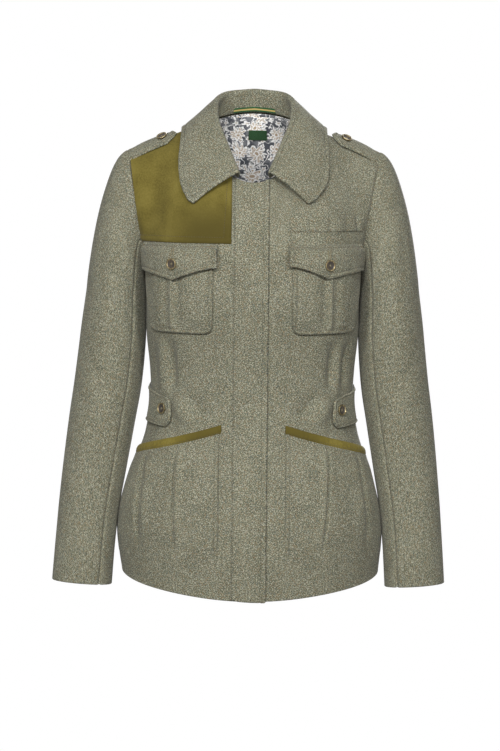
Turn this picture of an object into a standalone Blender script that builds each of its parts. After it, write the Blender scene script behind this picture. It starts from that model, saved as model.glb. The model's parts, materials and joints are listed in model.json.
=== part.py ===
"""A women's stalking jacket in tweed, filled out as it is worn, with no wearer inside.

Metres. +X is the wearer's left, -Y the front and +Z up. The origin lies midway between the two neck points,
where the shoulder seams meet the collar. Panels are walls on surfaces with two coordinates: turn runs from
the centre line (0) to the side seam and armhole (1), rise from the hem (0) past the armpit (1) to the
shoulder (2).
"""

import math

import bmesh
import bpy
import numpy as np
from mathutils import Vector

for old in list(bpy.data.objects):
    bpy.data.objects.remove(old, do_unlink=True)

RIGHT, LEFT = -1, 1
FRONT, BACK = -1, 1
NAMES = {RIGHT: "right", LEFT: "left"}

# Cloth thicknesses, and the gaps that sewing leaves
TWEED = 0.0022
POCKET = 0.0020
DOUBLE = 0.0028
SUEDE = 0.0014
LINING = 0.0010
TAPE = 0.0010
LAY_GAP = 0.0006
POCKET_GAP = 0.0009

# The body's sections from below the hem up to the armpit
TORSO = (
    # height, half width, front depth, back depth, squareness
    (-0.720, 0.1850, 0.126, 0.112, 2.10),
    (-0.660, 0.1895, 0.130, 0.116, 2.10),
    (-0.622, 0.1925, 0.133, 0.119, 2.10),
    (-0.580, 0.1890, 0.132, 0.119, 2.10),
    (-0.530, 0.1780, 0.127, 0.113, 2.10),
    (-0.490, 0.1670, 0.121, 0.104, 2.12),
    (-0.450, 0.1550, 0.116, 0.095, 2.15),
    (-0.400, 0.1480, 0.111, 0.089, 2.20),
    (-0.360, 0.1500, 0.113, 0.091, 2.25),
    (-0.300, 0.1551, 0.124, 0.099, 2.45),
    (-0.250, 0.1549, 0.131, 0.107, 2.65),
    (-0.213, 0.1540, 0.132, 0.111, 2.70),
)
ARMPIT = TORSO[-1][0]
HEM_SIDE = -0.660
HEM_DIP = {FRONT: 0.024, BACK: 0.012}
HEM_POWER = 1.1

# Folds that the waist tabs draw in
FOLDS = (
    # side, face, turn at top, turn at foot, top, foot, half width in turn, height
    (RIGHT, FRONT, 0.615, 0.635, -0.304, -0.395, 0.034, -0.0048),
    (RIGHT, FRONT, 0.705, 0.710, -0.306, -0.402, 0.045, 0.0040),
    (RIGHT, FRONT, 0.56, 0.52, -0.385, -0.438, 0.060, 0.0040),
    (LEFT, FRONT, 0.610, 0.620, -0.304, -0.393, 0.030, -0.0045),
    (LEFT, FRONT, 0.672, 0.678, -0.306, -0.398, 0.034, 0.0035),
    (LEFT, FRONT, 0.738, 0.738, -0.306, -0.398, 0.030, -0.0042),
    (LEFT, FRONT, 0.57, 0.54, -0.385, -0.438, 0.060, 0.0035),
    (RIGHT, BACK, 0.62, 0.60, -0.290, -0.470, 0.060, -0.0045),
    (LEFT, BACK, 0.58, 0.61, -0.290, -0.470, 0.060, -0.0045),
)

# Neckline, shoulder and armhole
NECK_TURN = 0.36
NECK_HALF = 0.072
NECK_POINT = -0.007
NECKLINE = {
    # centre, its handle, the neck point's handle, neck point
    FRONT: ((0.0, -0.085, -0.0885), (0.045, -0.085, -0.0885), (0.058, -0.035, -0.039), (NECK_HALF, 0.0, NECK_POINT)),
    BACK: ((0.0, 0.060, 0.0110), (0.035, 0.060, 0.0110), (0.061, 0.030, 0.0020), (NECK_HALF, 0.0, NECK_POINT)),
}
SHOULDER_HALF = 0.182
SHOULDER_BACK = 0.004
SHOULDER_DROP = 0.0395
RISE_ANGLE = {FRONT: (55.0, 24.0, 10.0), BACK: (62.0, 11.0, 8.0)}
LOWER_HANDLE = 0.40
UPPER_HANDLE = (0.34, 0.25)
ARMHOLE_LOW = (0.004, 0.066, 0.030)
ARMHOLE_HIGH = (-0.003, 0.058, -0.026)
ARMHOLE_FROM = 0.60
RIDGE = 1.999
SIDE = 0.9994

# Sleeve rings from the upper arm to the cuff, as bent as the arm hangs
SLEEVE = (
    # along, centre x, centre y, centre z, half width, half depth
    (0.00, 0.1992, 0.006, -0.2500, 0.0435, 0.0660),
    (0.16, 0.2041, 0.006, -0.3180, 0.0479, 0.0620),
    (0.30, 0.2105, 0.003, -0.3800, 0.0489, 0.0580),
    (0.44, 0.2198, -0.002, -0.4390, 0.0482, 0.0540),
    (0.58, 0.2288, -0.008, -0.4986, 0.0468, 0.0500),
    (0.72, 0.2370, -0.015, -0.5580, 0.0447, 0.0470),
    (0.86, 0.2428, -0.022, -0.6170, 0.0438, 0.0445),
    (1.00, 0.2472, -0.028, -0.6760, 0.0440, 0.0420),
)
CAP_OUT = 0.032
CAP_LIFT = 0.006
CAP_FALL = 0.42
CAP_SIDES = 0.55
UNDERARM_OUT = 0.008
UNDERARM_WAY = (0.7, 0.0, -0.7)
UNDERARM_FACES = (-0.7, 0.0, -0.7)
SEAM_MEETS = 0.12
SEAM_TURNS = 0.22
SLEEVE_SEAMS = (-0.36, 0.36)
SLEEVE_GAP = 0.0009
ARMHOLE_GAP = 0.0008

# Collar: fold line and leaf edge from the centre back (0) to the front end (1)
COLLAR_NECK = 0.45
COLLAR_END = 0.20
NECK_END = COLLAR_END * NECK_TURN
COLLAR_BASE = 0.0021
COLLAR_FOLD = (
    # station, x, y, z
    (0.00, 0.0000, 0.057, 0.0420),
    (0.25, 0.0425, 0.040, 0.0365),
    (0.45, 0.0572, 0.004, 0.0215),
    (0.62, 0.0560, -0.026, 0.0015),
    (0.80, 0.0443, -0.055, -0.0295),
    (1.00, 0.0240, -0.093, -0.0770),
)
COLLAR_EDGE = (
    # station, turn, rise counted over the shoulder from the back (0) to the front (2)
    (0.00, 0.000, 0.915),
    (0.25, 0.270, 0.900),
    (0.55, 0.540, 1.000),
    (0.72, 0.531, 1.320),
    (0.86, 0.493, 1.504),
)
COLLAR_TIP = {RIGHT: (1.00, 0.405, 1.670), LEFT: (1.00, 0.365, 1.670)}
NECK_MEETS = 0.12
LEAF_LIFT = 0.0062
LEAF_BULGE = 0.004
FOLD_RADIUS = 0.0035

# Fly band
FLY_FROM = -0.0275
FLY_TO = 0.0210
FLY_DROP = 0.0012
FLY_TOP = 0.024

# Suede patch on the right shoulder
PATCH_FOOT = -0.1742
PATCH_INNER = 0.0310
PATCH_OUTER = 0.988

# Chest pockets and flaps
CHEST_INNER = 0.056
CHEST_OUTER = (0.86, 0.725)
CHEST_TOP = -0.1905
CHEST_FOOT = -0.302
CHEST_CORNER = 0.008
PLEAT_INNER = 0.112
PLEAT_OUTER = (0.138, 0.127)
PLEAT_HEIGHTS = (0.0020, 0.0012, 0.0018)
PLEAT_STEP = 0.014
PLEAT_END = 0.85
FLAP_INNER = 0.0505
FLAP_OUTER = 0.885
FLAP_TOP = -0.176
FLAP_DEPTH = 0.0365
FLAP_POINT = 0.013
FLAP_MIDDLE = 0.42
FLAP_LIFT = 0.0050
FLAP_ROLL = 0.28
FLAP_BUTTON = 0.0085
FLAP_CURVE = 1.7

# Cartridge loops above the left flap
LOOPS_INNER = 0.050
LOOPS_OUTER = 0.90
LOOPS_TOP = -0.136
LOOPS_FOOT = -0.157
LOOP_COUNT = 5
LOOP_HEIGHT = 0.0018
LOOP_CLOTH = 0.0016

# Waist tabs
TAB_TIP = 0.632
TAB_TOP = -0.3835
TAB_HEIGHT = 0.053
TAB_SLANT = (0.0135, 0.0045)
TAB_POINT = 0.055
TAB_LIFT = 0.0016
TAB_ROUND = 4.0
TAB_SEAM = SIDE - 0.004
TAB_BUTTON = (0.088, -0.415)

# Hip pockets and their bindings
HIP_INNER = 0.046
HIP_OUTER = 0.985
HIP_MOUTH = (-0.4405, -0.4780)
HIP_SAG = 0.004
HIP_FOOT = -0.631
HIP_BELLY = 0.0030
HIP_PLEATS = (0.43, 0.76)
HIP_PLEAT_DEPTH = 0.0028
HIP_FOLD = 0.026
BINDING = 0.0115
BINDING_GAP = 0.0008
BINDING_LIFT = 0.0009
BINDING_THICK = 0.0026
BINDING_INNER = 0.044
BINDING_OUTER = 0.989

# Epaulettes
EPAULETTE_FROM = 0.590
EPAULETTE_TO = 0.985
EPAULETTE_HALF = 0.018
EPAULETTE_AHEAD = 0.008
EPAULETTE_POINT = 0.07
EPAULETTE_LIFT = {RIGHT: 0.0030, LEFT: 0.0012}
EPAULETTE_BUTTON = 0.115
RIDGE_SOFT = 0.008

# Buttons
BUTTON_RADIUS = 0.0082
BUTTON_THICK = 0.0034
BUTTON_RIM = 0.0016
BUTTON_SIDES = 12
BUTTON_OFF = 0.0009

# Inside the neck
LINING_TURN = 0.62
LABEL_CENTRE = (0.0055, -0.0190)
LABEL_SIZE = (0.028, 0.014)
LINING_GAP = 0.0012
LABEL_GAP = 0.0018
LOOP_END = 0.155
LOOP_GAP = 0.0010

# Colours from the photograph, roughness and metallic value
LOOKS = {
    "tweed": ((0.220, 0.216, 0.150), 0.90, 0.0),
    "suede": ((0.165, 0.138, 0.031), 0.95, 0.0),
    "lining": ((0.340, 0.350, 0.330), 0.45, 0.0),
    "label": ((0.012, 0.035, 0.010), 0.70, 0.0),
    "tape": ((0.080, 0.110, 0.030), 0.70, 0.0),
    "button": ((0.060, 0.045, 0.025), 0.35, 0.3),
}


def through(rows, at):
    """A table's columns read anywhere along its first one, by a smooth curve that doesn't overshoot."""
    rows = np.array(rows, float)
    place, value = rows[:, 0], rows[:, 1:]
    step = np.diff(place)[:, None]
    slope = np.diff(value, axis=0) / step
    product = slope[1:] * slope[:-1]
    total = np.where(product > 0, slope[1:] + slope[:-1], 1.0)
    tangent = np.vstack([slope[:1], np.where(product > 0, 2 * product / total, 0.0), slope[-1:]])
    at = np.clip(np.asarray(at, float), place[0], place[-1])
    i = np.clip(np.searchsorted(place, at, side="right") - 1, 0, len(step) - 1)
    t = ((at - place[i]) / step[i, 0])[..., None]
    rest = 1 - t
    start = rest * rest * (value[i] * (1 + 2 * t) + tangent[i] * step[i] * t)
    finish = t * t * (value[i + 1] * (3 - 2 * t) - tangent[i + 1] * step[i] * rest)
    return start + finish


def soft(t):
    """A smooth step from 0 to 1."""
    t = np.clip(t, 0.0, 1.0)
    return t * t * (3 - 2 * t)


def unit(v):
    return v / np.maximum(np.linalg.norm(v, axis=-1, keepdims=True), 1e-12)


def bezier(a, b, c, d, t):
    t = np.asarray(t)[..., None]
    s = 1 - t
    return a * s**3 + 3 * b * s * s * t + 3 * c * s * t * t + d * t**3


def solve(measure, low, high, target, rounds=40):
    """The place where a growing measure reaches its target, by halving."""
    low, high = np.broadcast_arrays(low, high, np.asarray(target, float))[:2]
    low, high = low.astype(float), high.astype(float)
    for _ in range(rounds):
        middle = (low + high) / 2
        under = measure(middle) < target
        low, high = np.where(under, middle, low), np.where(under, high, middle)
    return (low + high) / 2


def hem_height(face, turn):
    return HEM_SIDE - HEM_DIP[face] * np.cos(turn * math.pi / 2) ** HEM_POWER


def drape(side, face, turn, z):
    """How far the waist's folds stand out from the smooth body."""
    out = np.zeros(np.broadcast(turn, z).shape)
    for own_side, own_face, turn_top, turn_foot, top, foot, half, height in FOLDS:
        if (own_side, own_face) == (side, face):
            down = np.clip((top - z) / (top - foot), 0.0, 1.0)
            across = (turn - turn_top - (turn_foot - turn_top) * down) / half
            out = out + height * np.exp(-across * across) * np.sin(math.pi * down)
    return out


def ring(side, face, turn, z):
    """The body's surface at a height below the armpit, for the half at +X."""
    width, front, back, square = np.moveaxis(through(TORSO, z), -1, 0)
    depth = front if face == FRONT else back
    angle = np.clip(turn, 0.0, 1.0) * math.pi / 2
    s, c = np.sin(angle), np.maximum(np.cos(angle), 0.0)
    radius = ((s / width) ** square + (c / depth) ** square) ** (-1 / square) + drape(side, face, turn, z)
    return np.stack([radius * s, face * radius * c, z + 0 * radius], -1)


def top_edge(face, turn):
    """Neckline from the centre to the neck point, then the shoulder seam."""
    neck = bezier(*(np.array(p) for p in NECKLINE[face]), np.clip(turn / NECK_TURN, 0.0, 1.0))
    along = np.clip((turn - NECK_TURN) / (1 - NECK_TURN), 0.0, 1.0)[..., None]
    return neck + along * np.array([SHOULDER_HALF - NECK_HALF, SHOULDER_BACK, -SHOULDER_DROP])


def upper(side, face, turn, climb):
    """From the armpit's ring up to the neckline, shoulder and armhole."""
    foot = ring(side, face, turn, ARMPIT + 0 * turn)
    head = top_edge(face, turn)
    lean = unit(foot - ring(side, face, turn, ARMPIT - 0.004 + 0 * turn))
    span = np.linalg.norm(head - foot, axis=-1, keepdims=True)
    along = np.clip((turn - NECK_TURN) / (1 - NECK_TURN), 0.0, 1.0)
    centre, neck, tip = RISE_ANGLE[face]
    inward = soft(turn / NECK_TURN)
    tilt = np.radians(centre + (neck - centre) * inward + (tip - neck) * along)
    arrive = np.stack([0 * tilt, -face * np.cos(tilt), np.sin(tilt)], -1)
    handle = UPPER_HANDLE[0] + (UPPER_HANDLE[1] - UPPER_HANDLE[0]) * inward
    low = lean * span * LOWER_HANDLE
    high = -arrive * span * handle[..., None]
    edge = soft((turn - ARMHOLE_FROM) / (1 - ARMHOLE_FROM))[..., None]
    mirror = np.array([1.0, face, 1.0])
    low = low + (np.array(ARMHOLE_LOW) * mirror - low) * edge
    high = high + (np.array(ARMHOLE_HIGH) * mirror - high) * edge
    return bezier(foot, foot + low, head + high, head, climb)


def torso(side, face, turn, rise):
    """A point of the body's outer surface."""
    turn, rise = np.broadcast_arrays(np.asarray(turn, float), np.asarray(rise, float))
    hem = hem_height(face, turn)
    z = hem + (ARMPIT - hem) * np.clip(rise, -0.2, 1.0)
    below = ring(side, face, turn, z)
    above = upper(side, face, turn, np.clip(rise - 1, 0.0, 1.0))
    p = np.where((rise > 1)[..., None], above, below)
    return p * np.array([side, 1.0, 1.0])


def normal(side, face, turn, rise, step=2e-4):
    """The outward direction at a point of the body."""
    turn, rise = np.broadcast_arrays(np.asarray(turn, float), np.asarray(rise, float))
    t0, t1 = np.clip(turn - step, 0.0, 1.0), np.clip(turn + step, 0.0, 1.0)
    r0, r1 = np.maximum(rise - step, 0.0), np.minimum(rise + step, 2.0)
    across = torso(side, face, t1, rise) - torso(side, face, t0, rise)
    up = torso(side, face, turn, r1) - torso(side, face, turn, r0)
    return unit(np.cross(across, up)) * -face * side


def rise_of(side, face, turn, z):
    """The rise of a height on the body."""
    hem = hem_height(face, turn)
    low = (z - hem) / (ARMPIT - hem)
    high = solve(lambda r: torso(side, face, turn, r)[..., 2], 1.0, 2.0, z + 0 * turn)
    return np.where(z > ARMPIT, high, low)


def turn_of(side, face, x, rise):
    """The turn at which the body lies a distance x from the centre plane."""
    return solve(lambda t: side * torso(side, face, t, rise)[..., 0], 0.0, 1.0, x + 0 * rise)


def turn_at(side, face, x, z):
    """The same at a height."""
    away = lambda t: side * torso(side, face, t, rise_of(side, face, t, z))[..., 0]
    return solve(away, 0.0, 1.0, x + 0 * z)


def grid(columns, rows):
    """Two arrays, one value of each list for each crossing, rows first."""
    return np.meshgrid(np.asarray(columns, float), np.asarray(rows, float))


def look(name, kind):
    """A material for one piece."""
    colour, roughness, metallic = LOOKS[kind]
    material = bpy.data.materials.new(name)
    material.use_nodes = True
    shader = material.node_tree.nodes["Principled BSDF"]
    shader.inputs["Base Color"].default_value = (*colour, 1.0)
    shader.inputs["Roughness"].default_value = roughness
    shader.inputs["Metallic"].default_value = metallic
    return material


def place(name, mesh, kind):
    thing = bpy.data.objects.new(name, mesh)
    thing.data.materials.append(look(name, kind))
    bpy.context.collection.objects.link(thing)
    return thing


def wall(name, inner, outer, kind):
    """One closed cloth body between two grids of points."""
    rows, columns = outer.shape[:2]
    count = rows * columns
    number = np.arange(count).reshape(rows, columns)
    faces = []
    for r in range(rows - 1):
        for c in range(columns - 1):
            a, b, d, e = number[r, c], number[r, c + 1], number[r + 1, c + 1], number[r + 1, c]
            for corner in ([a, b, d], [a, d, e]):
                faces.append(corner)
                faces.append([count + k for k in reversed(corner)])
    around = [*number[0, :-1], *number[:-1, -1], *number[-1, :0:-1], *number[:0:-1, 0]]
    for k, a in enumerate(around):
        b = around[(k + 1) % len(around)]
        faces.append([b, a, count + a, count + b])
    points = np.concatenate([outer.reshape(-1, 3), inner.reshape(-1, 3)])
    mesh = bpy.data.meshes.new(name)
    mesh.from_pydata(points.tolist(), [], [[int(k) for k in f] for f in faces])
    shaped = bmesh.new()
    shaped.from_mesh(mesh)
    bmesh.ops.triangulate(shaped, faces=shaped.faces[:], quad_method="FIXED")
    bmesh.ops.recalc_face_normals(shaped, faces=shaped.faces[:])
    shaped.to_mesh(mesh)
    shaped.free()
    mesh.shade_smooth()
    mesh.set_sharp_from_angle(angle=math.radians(40))
    return place(name, mesh, kind)


def laid(name, side, face, turn, rise, near, thick, kind):
    """Cloth that lies on the body, made from the body's points moved out."""
    p = torso(side, face, turn, rise)
    n = normal(side, face, turn, rise)
    near = np.broadcast_to(near, p.shape[:2])[..., None]
    return wall(name, p + n * near, p + n * (near + thick), kind)


FRONT_TURNS = (
    *(0.0007, 0.06, 0.12, 0.18, 0.24, 0.30, NECK_TURN),
    *(0.44, 0.52, 0.59, 0.65, 0.71, 0.77, 0.84, 0.92, SIDE),
)
BACK_TURNS = (0.0, 0.09, 0.18, 0.27, NECK_TURN, 0.46, 0.56, 0.66, 0.76, 0.85, 0.93, SIDE)
LOW_RISES = (0.0, 0.04, 0.13, 0.22, 0.31, 0.39, 0.45, 0.51, 0.57, 0.63, 0.70, 0.78, 0.89, 1.0)
HIGH_RISES = (1.14, 1.28, 1.42, 1.56, 1.70, 1.83, 1.93, RIDGE)
RISES = LOW_RISES + HIGH_RISES


def seamed(side, face, turn, rise):
    """Outward directions, square to the shoulder seam where the front and back meet."""
    n = normal(side, face, turn, rise)
    meets = ((rise >= RIDGE) & (turn >= NECK_TURN))[..., None]
    return np.where(meets, unit(n * np.array([1.0, 0.0, 1.0])), n)


def front_panel(side):
    turn, rise = grid(FRONT_TURNS, RISES)
    p = torso(side, FRONT, turn, rise)
    wall(f"{NAMES[side]}_front", p - TWEED * seamed(side, FRONT, turn, rise), p, "tweed")


def back_panel():
    turn, rise = grid(BACK_TURNS, RISES)
    halves = []
    for side in (RIGHT, LEFT):
        p = torso(side, BACK, turn, rise)
        halves.append((p - TWEED * seamed(side, BACK, turn, rise), p))
    joined = [np.concatenate([right[:, :0:-1], left], axis=1) for right, left in zip(*halves)]
    wall("back", *joined, "tweed")


def armhole(side, around):
    """The armhole's edge, the way out of it along the cloth, and the cloth's outward direction."""
    around = np.asarray(around, float)
    turned = np.mod(around + 0.5, 1.0) - 0.5
    rise = 1 + np.minimum(1 - 2 * np.abs(turned), RIDGE - 1)
    edges = []
    for face in (FRONT, BACK):
        p = torso(side, face, 1.0, rise)
        back = np.maximum(rise - 0.01, 1.0)
        ahead = np.minimum(rise + 0.01, 2.0)
        run = unit(torso(side, face, 1.0, ahead) - torso(side, face, 1.0, back))
        out = p - torso(side, face, 0.985, rise)
        out = unit(out - run * np.sum(out * run, -1, keepdims=True))
        edges.append((p, out, normal(side, face, 0.9995, rise)))
    is_front = (turned > 0)[..., None]
    ends = (np.abs(turned) < 1e-6)[..., None] | (np.abs(turned) > 0.5 - 1e-6)[..., None]
    middle = [(f + b) / 2 for f, b in zip(*edges)]
    p, out, n = [np.where(ends, m, np.where(is_front, f, b)) for m, f, b in zip(middle, *edges)]
    clear = soft(np.minimum(np.abs(turned), 0.5 - np.abs(turned)) / SEAM_MEETS)
    out = out * np.stack([1 + 0 * clear, clear, 1 + 0 * clear], -1)
    return p, unit(out), unit(n)


def sleeve_ring(side, around, along):
    """A point of the sleeve below its cap, and the sleeve's way down."""
    at = through(SLEEVE, along)
    centre, half, deep = at[..., :3], at[..., 3:4], at[..., 4:5]
    above, below = [through(SLEEVE, np.clip(along + by, 0, 1))[..., :3] for by in (-0.01, 0.01)]
    down = unit(below - above)
    outward = np.array([1.0, 0.0, 0.0])
    outward = unit(outward - down * np.sum(outward * down, -1, keepdims=True))
    forward = np.cross(outward, down)
    forward = forward * -np.sign(forward[..., 1:2])
    angle = np.asarray(around)[..., None] * 2 * math.pi
    p = centre + outward * half * np.cos(angle) + forward * deep * np.sin(angle)
    return p * np.array([side, 1.0, 1.0]), down * np.array([side, 1.0, 1.0])


def under_over(around):
    """How far a place round the sleeve lies under the arm, and how far on top."""
    away = np.abs(np.mod(around + 0.5, 1.0) - 0.5)
    return soft(4 * away - 1)[..., None], 1 - soft(4 * away)[..., None]


def sleeve_point(side, around, along):
    """A point of a sleeve: along runs from the armhole (-1) to the upper arm (0) and the cuff (1)."""
    around, along = np.broadcast_arrays(np.asarray(around, float), np.asarray(along, float))
    edge, out, n = armhole(side, around)
    start = edge + out * ARMHOLE_GAP
    finish, down = sleeve_ring(side, around, 0 * around)
    under, over = under_over(around)
    leave = (out * CAP_OUT * (CAP_SIDES + (1 - CAP_SIDES) * over) + n * CAP_LIFT * (1 - over)) * (1 - under)
    leave = leave + np.array(UNDERARM_WAY) * np.array([side, 1.0, 1.0]) * UNDERARM_OUT * under
    span = np.linalg.norm(finish - start, axis=-1, keepdims=True)
    cap = bezier(start, start + leave, finish - down * span * CAP_FALL, finish, np.clip(along + 1, 0, 1))
    arm = sleeve_ring(side, around, np.clip(along, 0, 1))[0]
    return np.where((along < 0)[..., None], cap, arm)


def sleeve_normal(side, around, along, step=1e-3):
    across = sleeve_point(side, around + step, along) - sleeve_point(side, around - step, along)
    low, high = np.clip(along - step, -1, 1), np.clip(along + step, -1, 1)
    down = sleeve_point(side, around, high) - sleeve_point(side, around, low)
    n = unit(np.cross(across, down)) * side
    under = under_over(around)[0]
    below = np.array(UNDERARM_FACES) * np.array([side, 1.0, 1.0])
    seam = unit(armhole(side, around)[2] * (1 - under) + below * under)
    turned = soft((along + 1) / SEAM_TURNS)[..., None]
    return unit(seam * (1 - turned) + n * turned)


SLEEVE_ALONG = (-1.0, -0.93, -0.82, -0.66, -0.48, -0.28, -0.08, 0.10, 0.22, 0.34, 0.46, 0.60, 0.74, 0.88, 1.0)
HALF_ROUND = tuple(1 - rise / 2 for rise in (*HIGH_RISES[-2::-1], 1.0))


def sleeve(side):
    """Upper and under sleeve, seamed down the back and down the front near the body."""
    back_seam, front_seam = SLEEVE_SEAMS
    rising = HALF_ROUND[-2::-1]
    round_all = [*(-a for a in rising), 0.0, *HALF_ROUND, *(1 - a for a in rising)]
    spans = {"upper": (back_seam, front_seam), "under": (front_seam, 1 + back_seam)}
    for part, (first, last) in spans.items():
        between = [a for a in round_all if first + 0.01 < a < last - 0.01]
        around, along = grid([first + SLEEVE_GAP, *between, last - SLEEVE_GAP], SLEEVE_ALONG)
        p = sleeve_point(side, around, along)
        wall(f"{NAMES[side]}_{part}_sleeve", p - TWEED * sleeve_normal(side, around, along), p, "tweed")


def neck_seam(station):
    """The collar's seam for the half at +X, and the way off the panel along the cloth."""
    back = station < COLLAR_NECK
    turn_back = NECK_TURN * station / COLLAR_NECK
    turn_front = NECK_TURN + (NECK_END - NECK_TURN) * (station - COLLAR_NECK) / (1 - COLLAR_NECK)
    p, off = [], []
    for face, turn in ((BACK, turn_back), (FRONT, turn_front)):
        turn = np.clip(turn, 0.0, NECK_TURN)
        edge = torso(LEFT, face, turn, 2.0)
        ahead, before = np.minimum(turn + 0.01, NECK_TURN), np.maximum(turn - 0.01, 0.0)
        run = torso(LEFT, face, ahead, 2.0) - torso(LEFT, face, before, 2.0)
        p.append(edge)
        off.append(unit(np.cross(normal(LEFT, face, turn, RIDGE), run)) * -face)
    choose = back[..., None]
    across = soft((station - COLLAR_NECK + NECK_MEETS) / (2 * NECK_MEETS))[..., None]
    way = unit(off[0] * (1 - across) + off[1] * across)
    return np.where(choose, p[0], p[1]), way


def leaf_edge(side, station):
    """The leaf's edge for the half at +X, lying off the shoulder."""
    turn, over = np.moveaxis(through((*COLLAR_EDGE, COLLAR_TIP[side]), station), -1, 0)
    sheets = []
    for face, rise in ((BACK, np.clip(1 + over, 1, 2)), (FRONT, np.clip(3 - over, 1, 2))):
        away = normal(LEFT, face, turn, np.minimum(rise, RIDGE))
        sheets.append(torso(LEFT, face, turn, rise) + LEAF_LIFT * away)
    behind, ahead = sheets
    return np.where((over < 1)[..., None], behind, ahead)


def collar_half(side, station, steps):
    """The collar's middle surface for the half at +X: seam, stand, fold and leaf."""
    seam, way = neck_seam(station)
    base = seam + way * COLLAR_BASE
    fold = through(COLLAR_FOLD, station)
    edge = leaf_edge(side, station)
    before, after = [through(COLLAR_FOLD, np.clip(station + by, 0, 1)) for by in (-0.01, 0.01)]
    run = unit(after - before)
    square = lambda v: unit(v - run * np.sum(v * run, -1, keepdims=True))
    to_leaf, to_stand = square(edge - fold), square(base - fold)
    head = -unit(to_leaf + to_stand)
    out = unit(to_leaf - to_stand)
    inside, outside = fold - out * FOLD_RADIUS, fold + out * FOLD_RADIUS
    rows = []
    for t in np.linspace(0, 1, steps[0]):
        rows.append(base + (inside - base) * t)
    for angle in (45, 90, 135):
        a = math.radians(angle)
        rows.append(fold - out * FOLD_RADIUS * math.cos(a) + head * FOLD_RADIUS * math.sin(a))
    for t in np.linspace(0, 1, steps[1]):
        puff = (out * 0.8 + head * 0.6) * LEAF_BULGE * math.sin(math.pi * t)
        rows.append(outside + (edge - outside) * t + puff)
    return np.stack(rows)


COLLAR_STATIONS = (
    *(COLLAR_NECK * t / NECK_TURN for t in BACK_TURNS if t <= NECK_TURN),
    *(1 - (1 - COLLAR_NECK) * (t - NECK_END) / (NECK_TURN - NECK_END) for t in FRONT_TURNS[5:1:-1]),
    1.0,
)


def grid_normals(p):
    """Directions square to a grid of points."""
    down, across = np.gradient(p, axis=0), np.gradient(p, axis=1)
    return unit(np.cross(across, down))


def collar_surface():
    right, left = [collar_half(side, np.array(COLLAR_STATIONS), (3, 6)) for side in (RIGHT, LEFT)]
    right = right[:, :0:-1] * np.array([-1.0, 1.0, 1.0])
    return np.concatenate([right, left], axis=1)


def collar():
    p = collar_surface()
    n = grid_normals(p)
    wall("collar", p - n * DOUBLE / 2, p + n * DOUBLE / 2, "tweed")


def fly_band():
    """The strip that covers the closing, lapped right over left, from neckline to hem."""
    halves = []
    rises = np.array([*RISES[:-1], RIDGE - FLY_TOP])
    for side, reach in ((RIGHT, -FLY_FROM), (LEFT, FLY_TO)):
        x, rise = grid(np.linspace(0, reach, 3), rises)
        turn = turn_of(side, FRONT, x, rise)
        n = normal(side, FRONT, turn, rise)
        p = torso(side, FRONT, turn, rise)
        p[0, :, 2] -= FLY_DROP
        halves.append((p + n * LAY_GAP, p + n * (LAY_GAP + DOUBLE)))
    joined = [np.concatenate([right[:, :0:-1], left], axis=1) for right, left in zip(*halves)]
    wall("fly_band", *joined, "tweed")


def shoulder_patch():
    """Suede from the shoulder down to the flap, on the front's own lines."""
    columns = [0.0, *(t for t in FRONT_TURNS if 0.17 < t < PATCH_OUTER), PATCH_OUTER]
    turn, rise = grid(columns, [0.0, 0.0, *HIGH_RISES[2:-1], RIDGE - 0.006])
    turn[:2, 0] = turn_at(RIGHT, FRONT, PATCH_INNER, np.array([PATCH_FOOT]))
    rise[0] = rise_of(RIGHT, FRONT, turn[0], PATCH_FOOT)
    rise[1] = (rise[0] + rise[2]) / 2
    turn[:, 0] = turn_of(RIGHT, FRONT, PATCH_INNER, rise[:, 0])
    laid("shoulder_patch", RIGHT, FRONT, turn, rise, LAY_GAP, SUEDE, "suede")


def chest_pocket(side):
    """A patch pocket with a pleat that opens towards its top."""
    down = np.linspace(0, 1, 10)
    z = CHEST_TOP + (CHEST_FOOT - CHEST_TOP) * down
    inner = turn_at(side, FRONT, CHEST_INNER, z)
    outer = CHEST_OUTER[0] + (CHEST_OUTER[1] - CHEST_OUTER[0]) * down
    fold_in = turn_at(side, FRONT, PLEAT_INNER, z)
    fold_out = turn_at(side, FRONT, PLEAT_OUTER[0] + (PLEAT_OUTER[1] - PLEAT_OUTER[0]) * down, z)
    flat = [inner + (fold_in - PLEAT_STEP - inner) * t for t in np.linspace(0, 1, 5)]
    pleat = [fold_in, (fold_in + fold_out) / 2, fold_out]
    beyond = [fold_out + PLEAT_STEP + (outer - fold_out - PLEAT_STEP) * t for t in np.linspace(0, 1, 4)]
    turn = np.stack([*flat, *pleat, *beyond], axis=1)
    height = np.zeros(turn.shape)
    height[:, len(flat):len(flat) + len(pleat)] = np.array(PLEAT_HEIGHTS)
    height *= (1 - soft((down - PLEAT_END) / (1 - PLEAT_END)))[:, None]
    foot = np.repeat(z[:, None], turn.shape[1], axis=1)
    foot[-1, [0, -1]] += CHEST_CORNER
    rise = rise_of(side, FRONT, turn, foot)
    laid(f"{NAMES[side]}_chest_pocket", side, FRONT, turn, rise, POCKET_GAP + height, POCKET, "tweed")


def flap_foot(across):
    """How far a flap's lower edge dips towards its point, 0 to 1."""
    before = across / FLAP_MIDDLE
    after = (1 - across) / (1 - FLAP_MIDDLE)
    return np.minimum(before, after) ** FLAP_CURVE


def chest_flap(side):
    columns = (0, 0.11, 0.22, 0.32, FLAP_MIDDLE, 0.52, 0.62, 0.74, 0.87, 1)
    across, down = grid(columns, (0, 0.14, FLAP_ROLL, 0.52, 0.76, 1))
    z = FLAP_TOP - (FLAP_DEPTH + FLAP_POINT * flap_foot(across)) * down
    inner = turn_at(side, FRONT, FLAP_INNER, z)
    turn = inner + (FLAP_OUTER - inner) * across
    rise = rise_of(side, FRONT, turn, z)
    near = LAY_GAP + FLAP_LIFT * soft(down / FLAP_ROLL)
    laid(f"{NAMES[side]}_chest_flap", side, FRONT, turn, rise, near, DOUBLE, "tweed")


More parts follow.
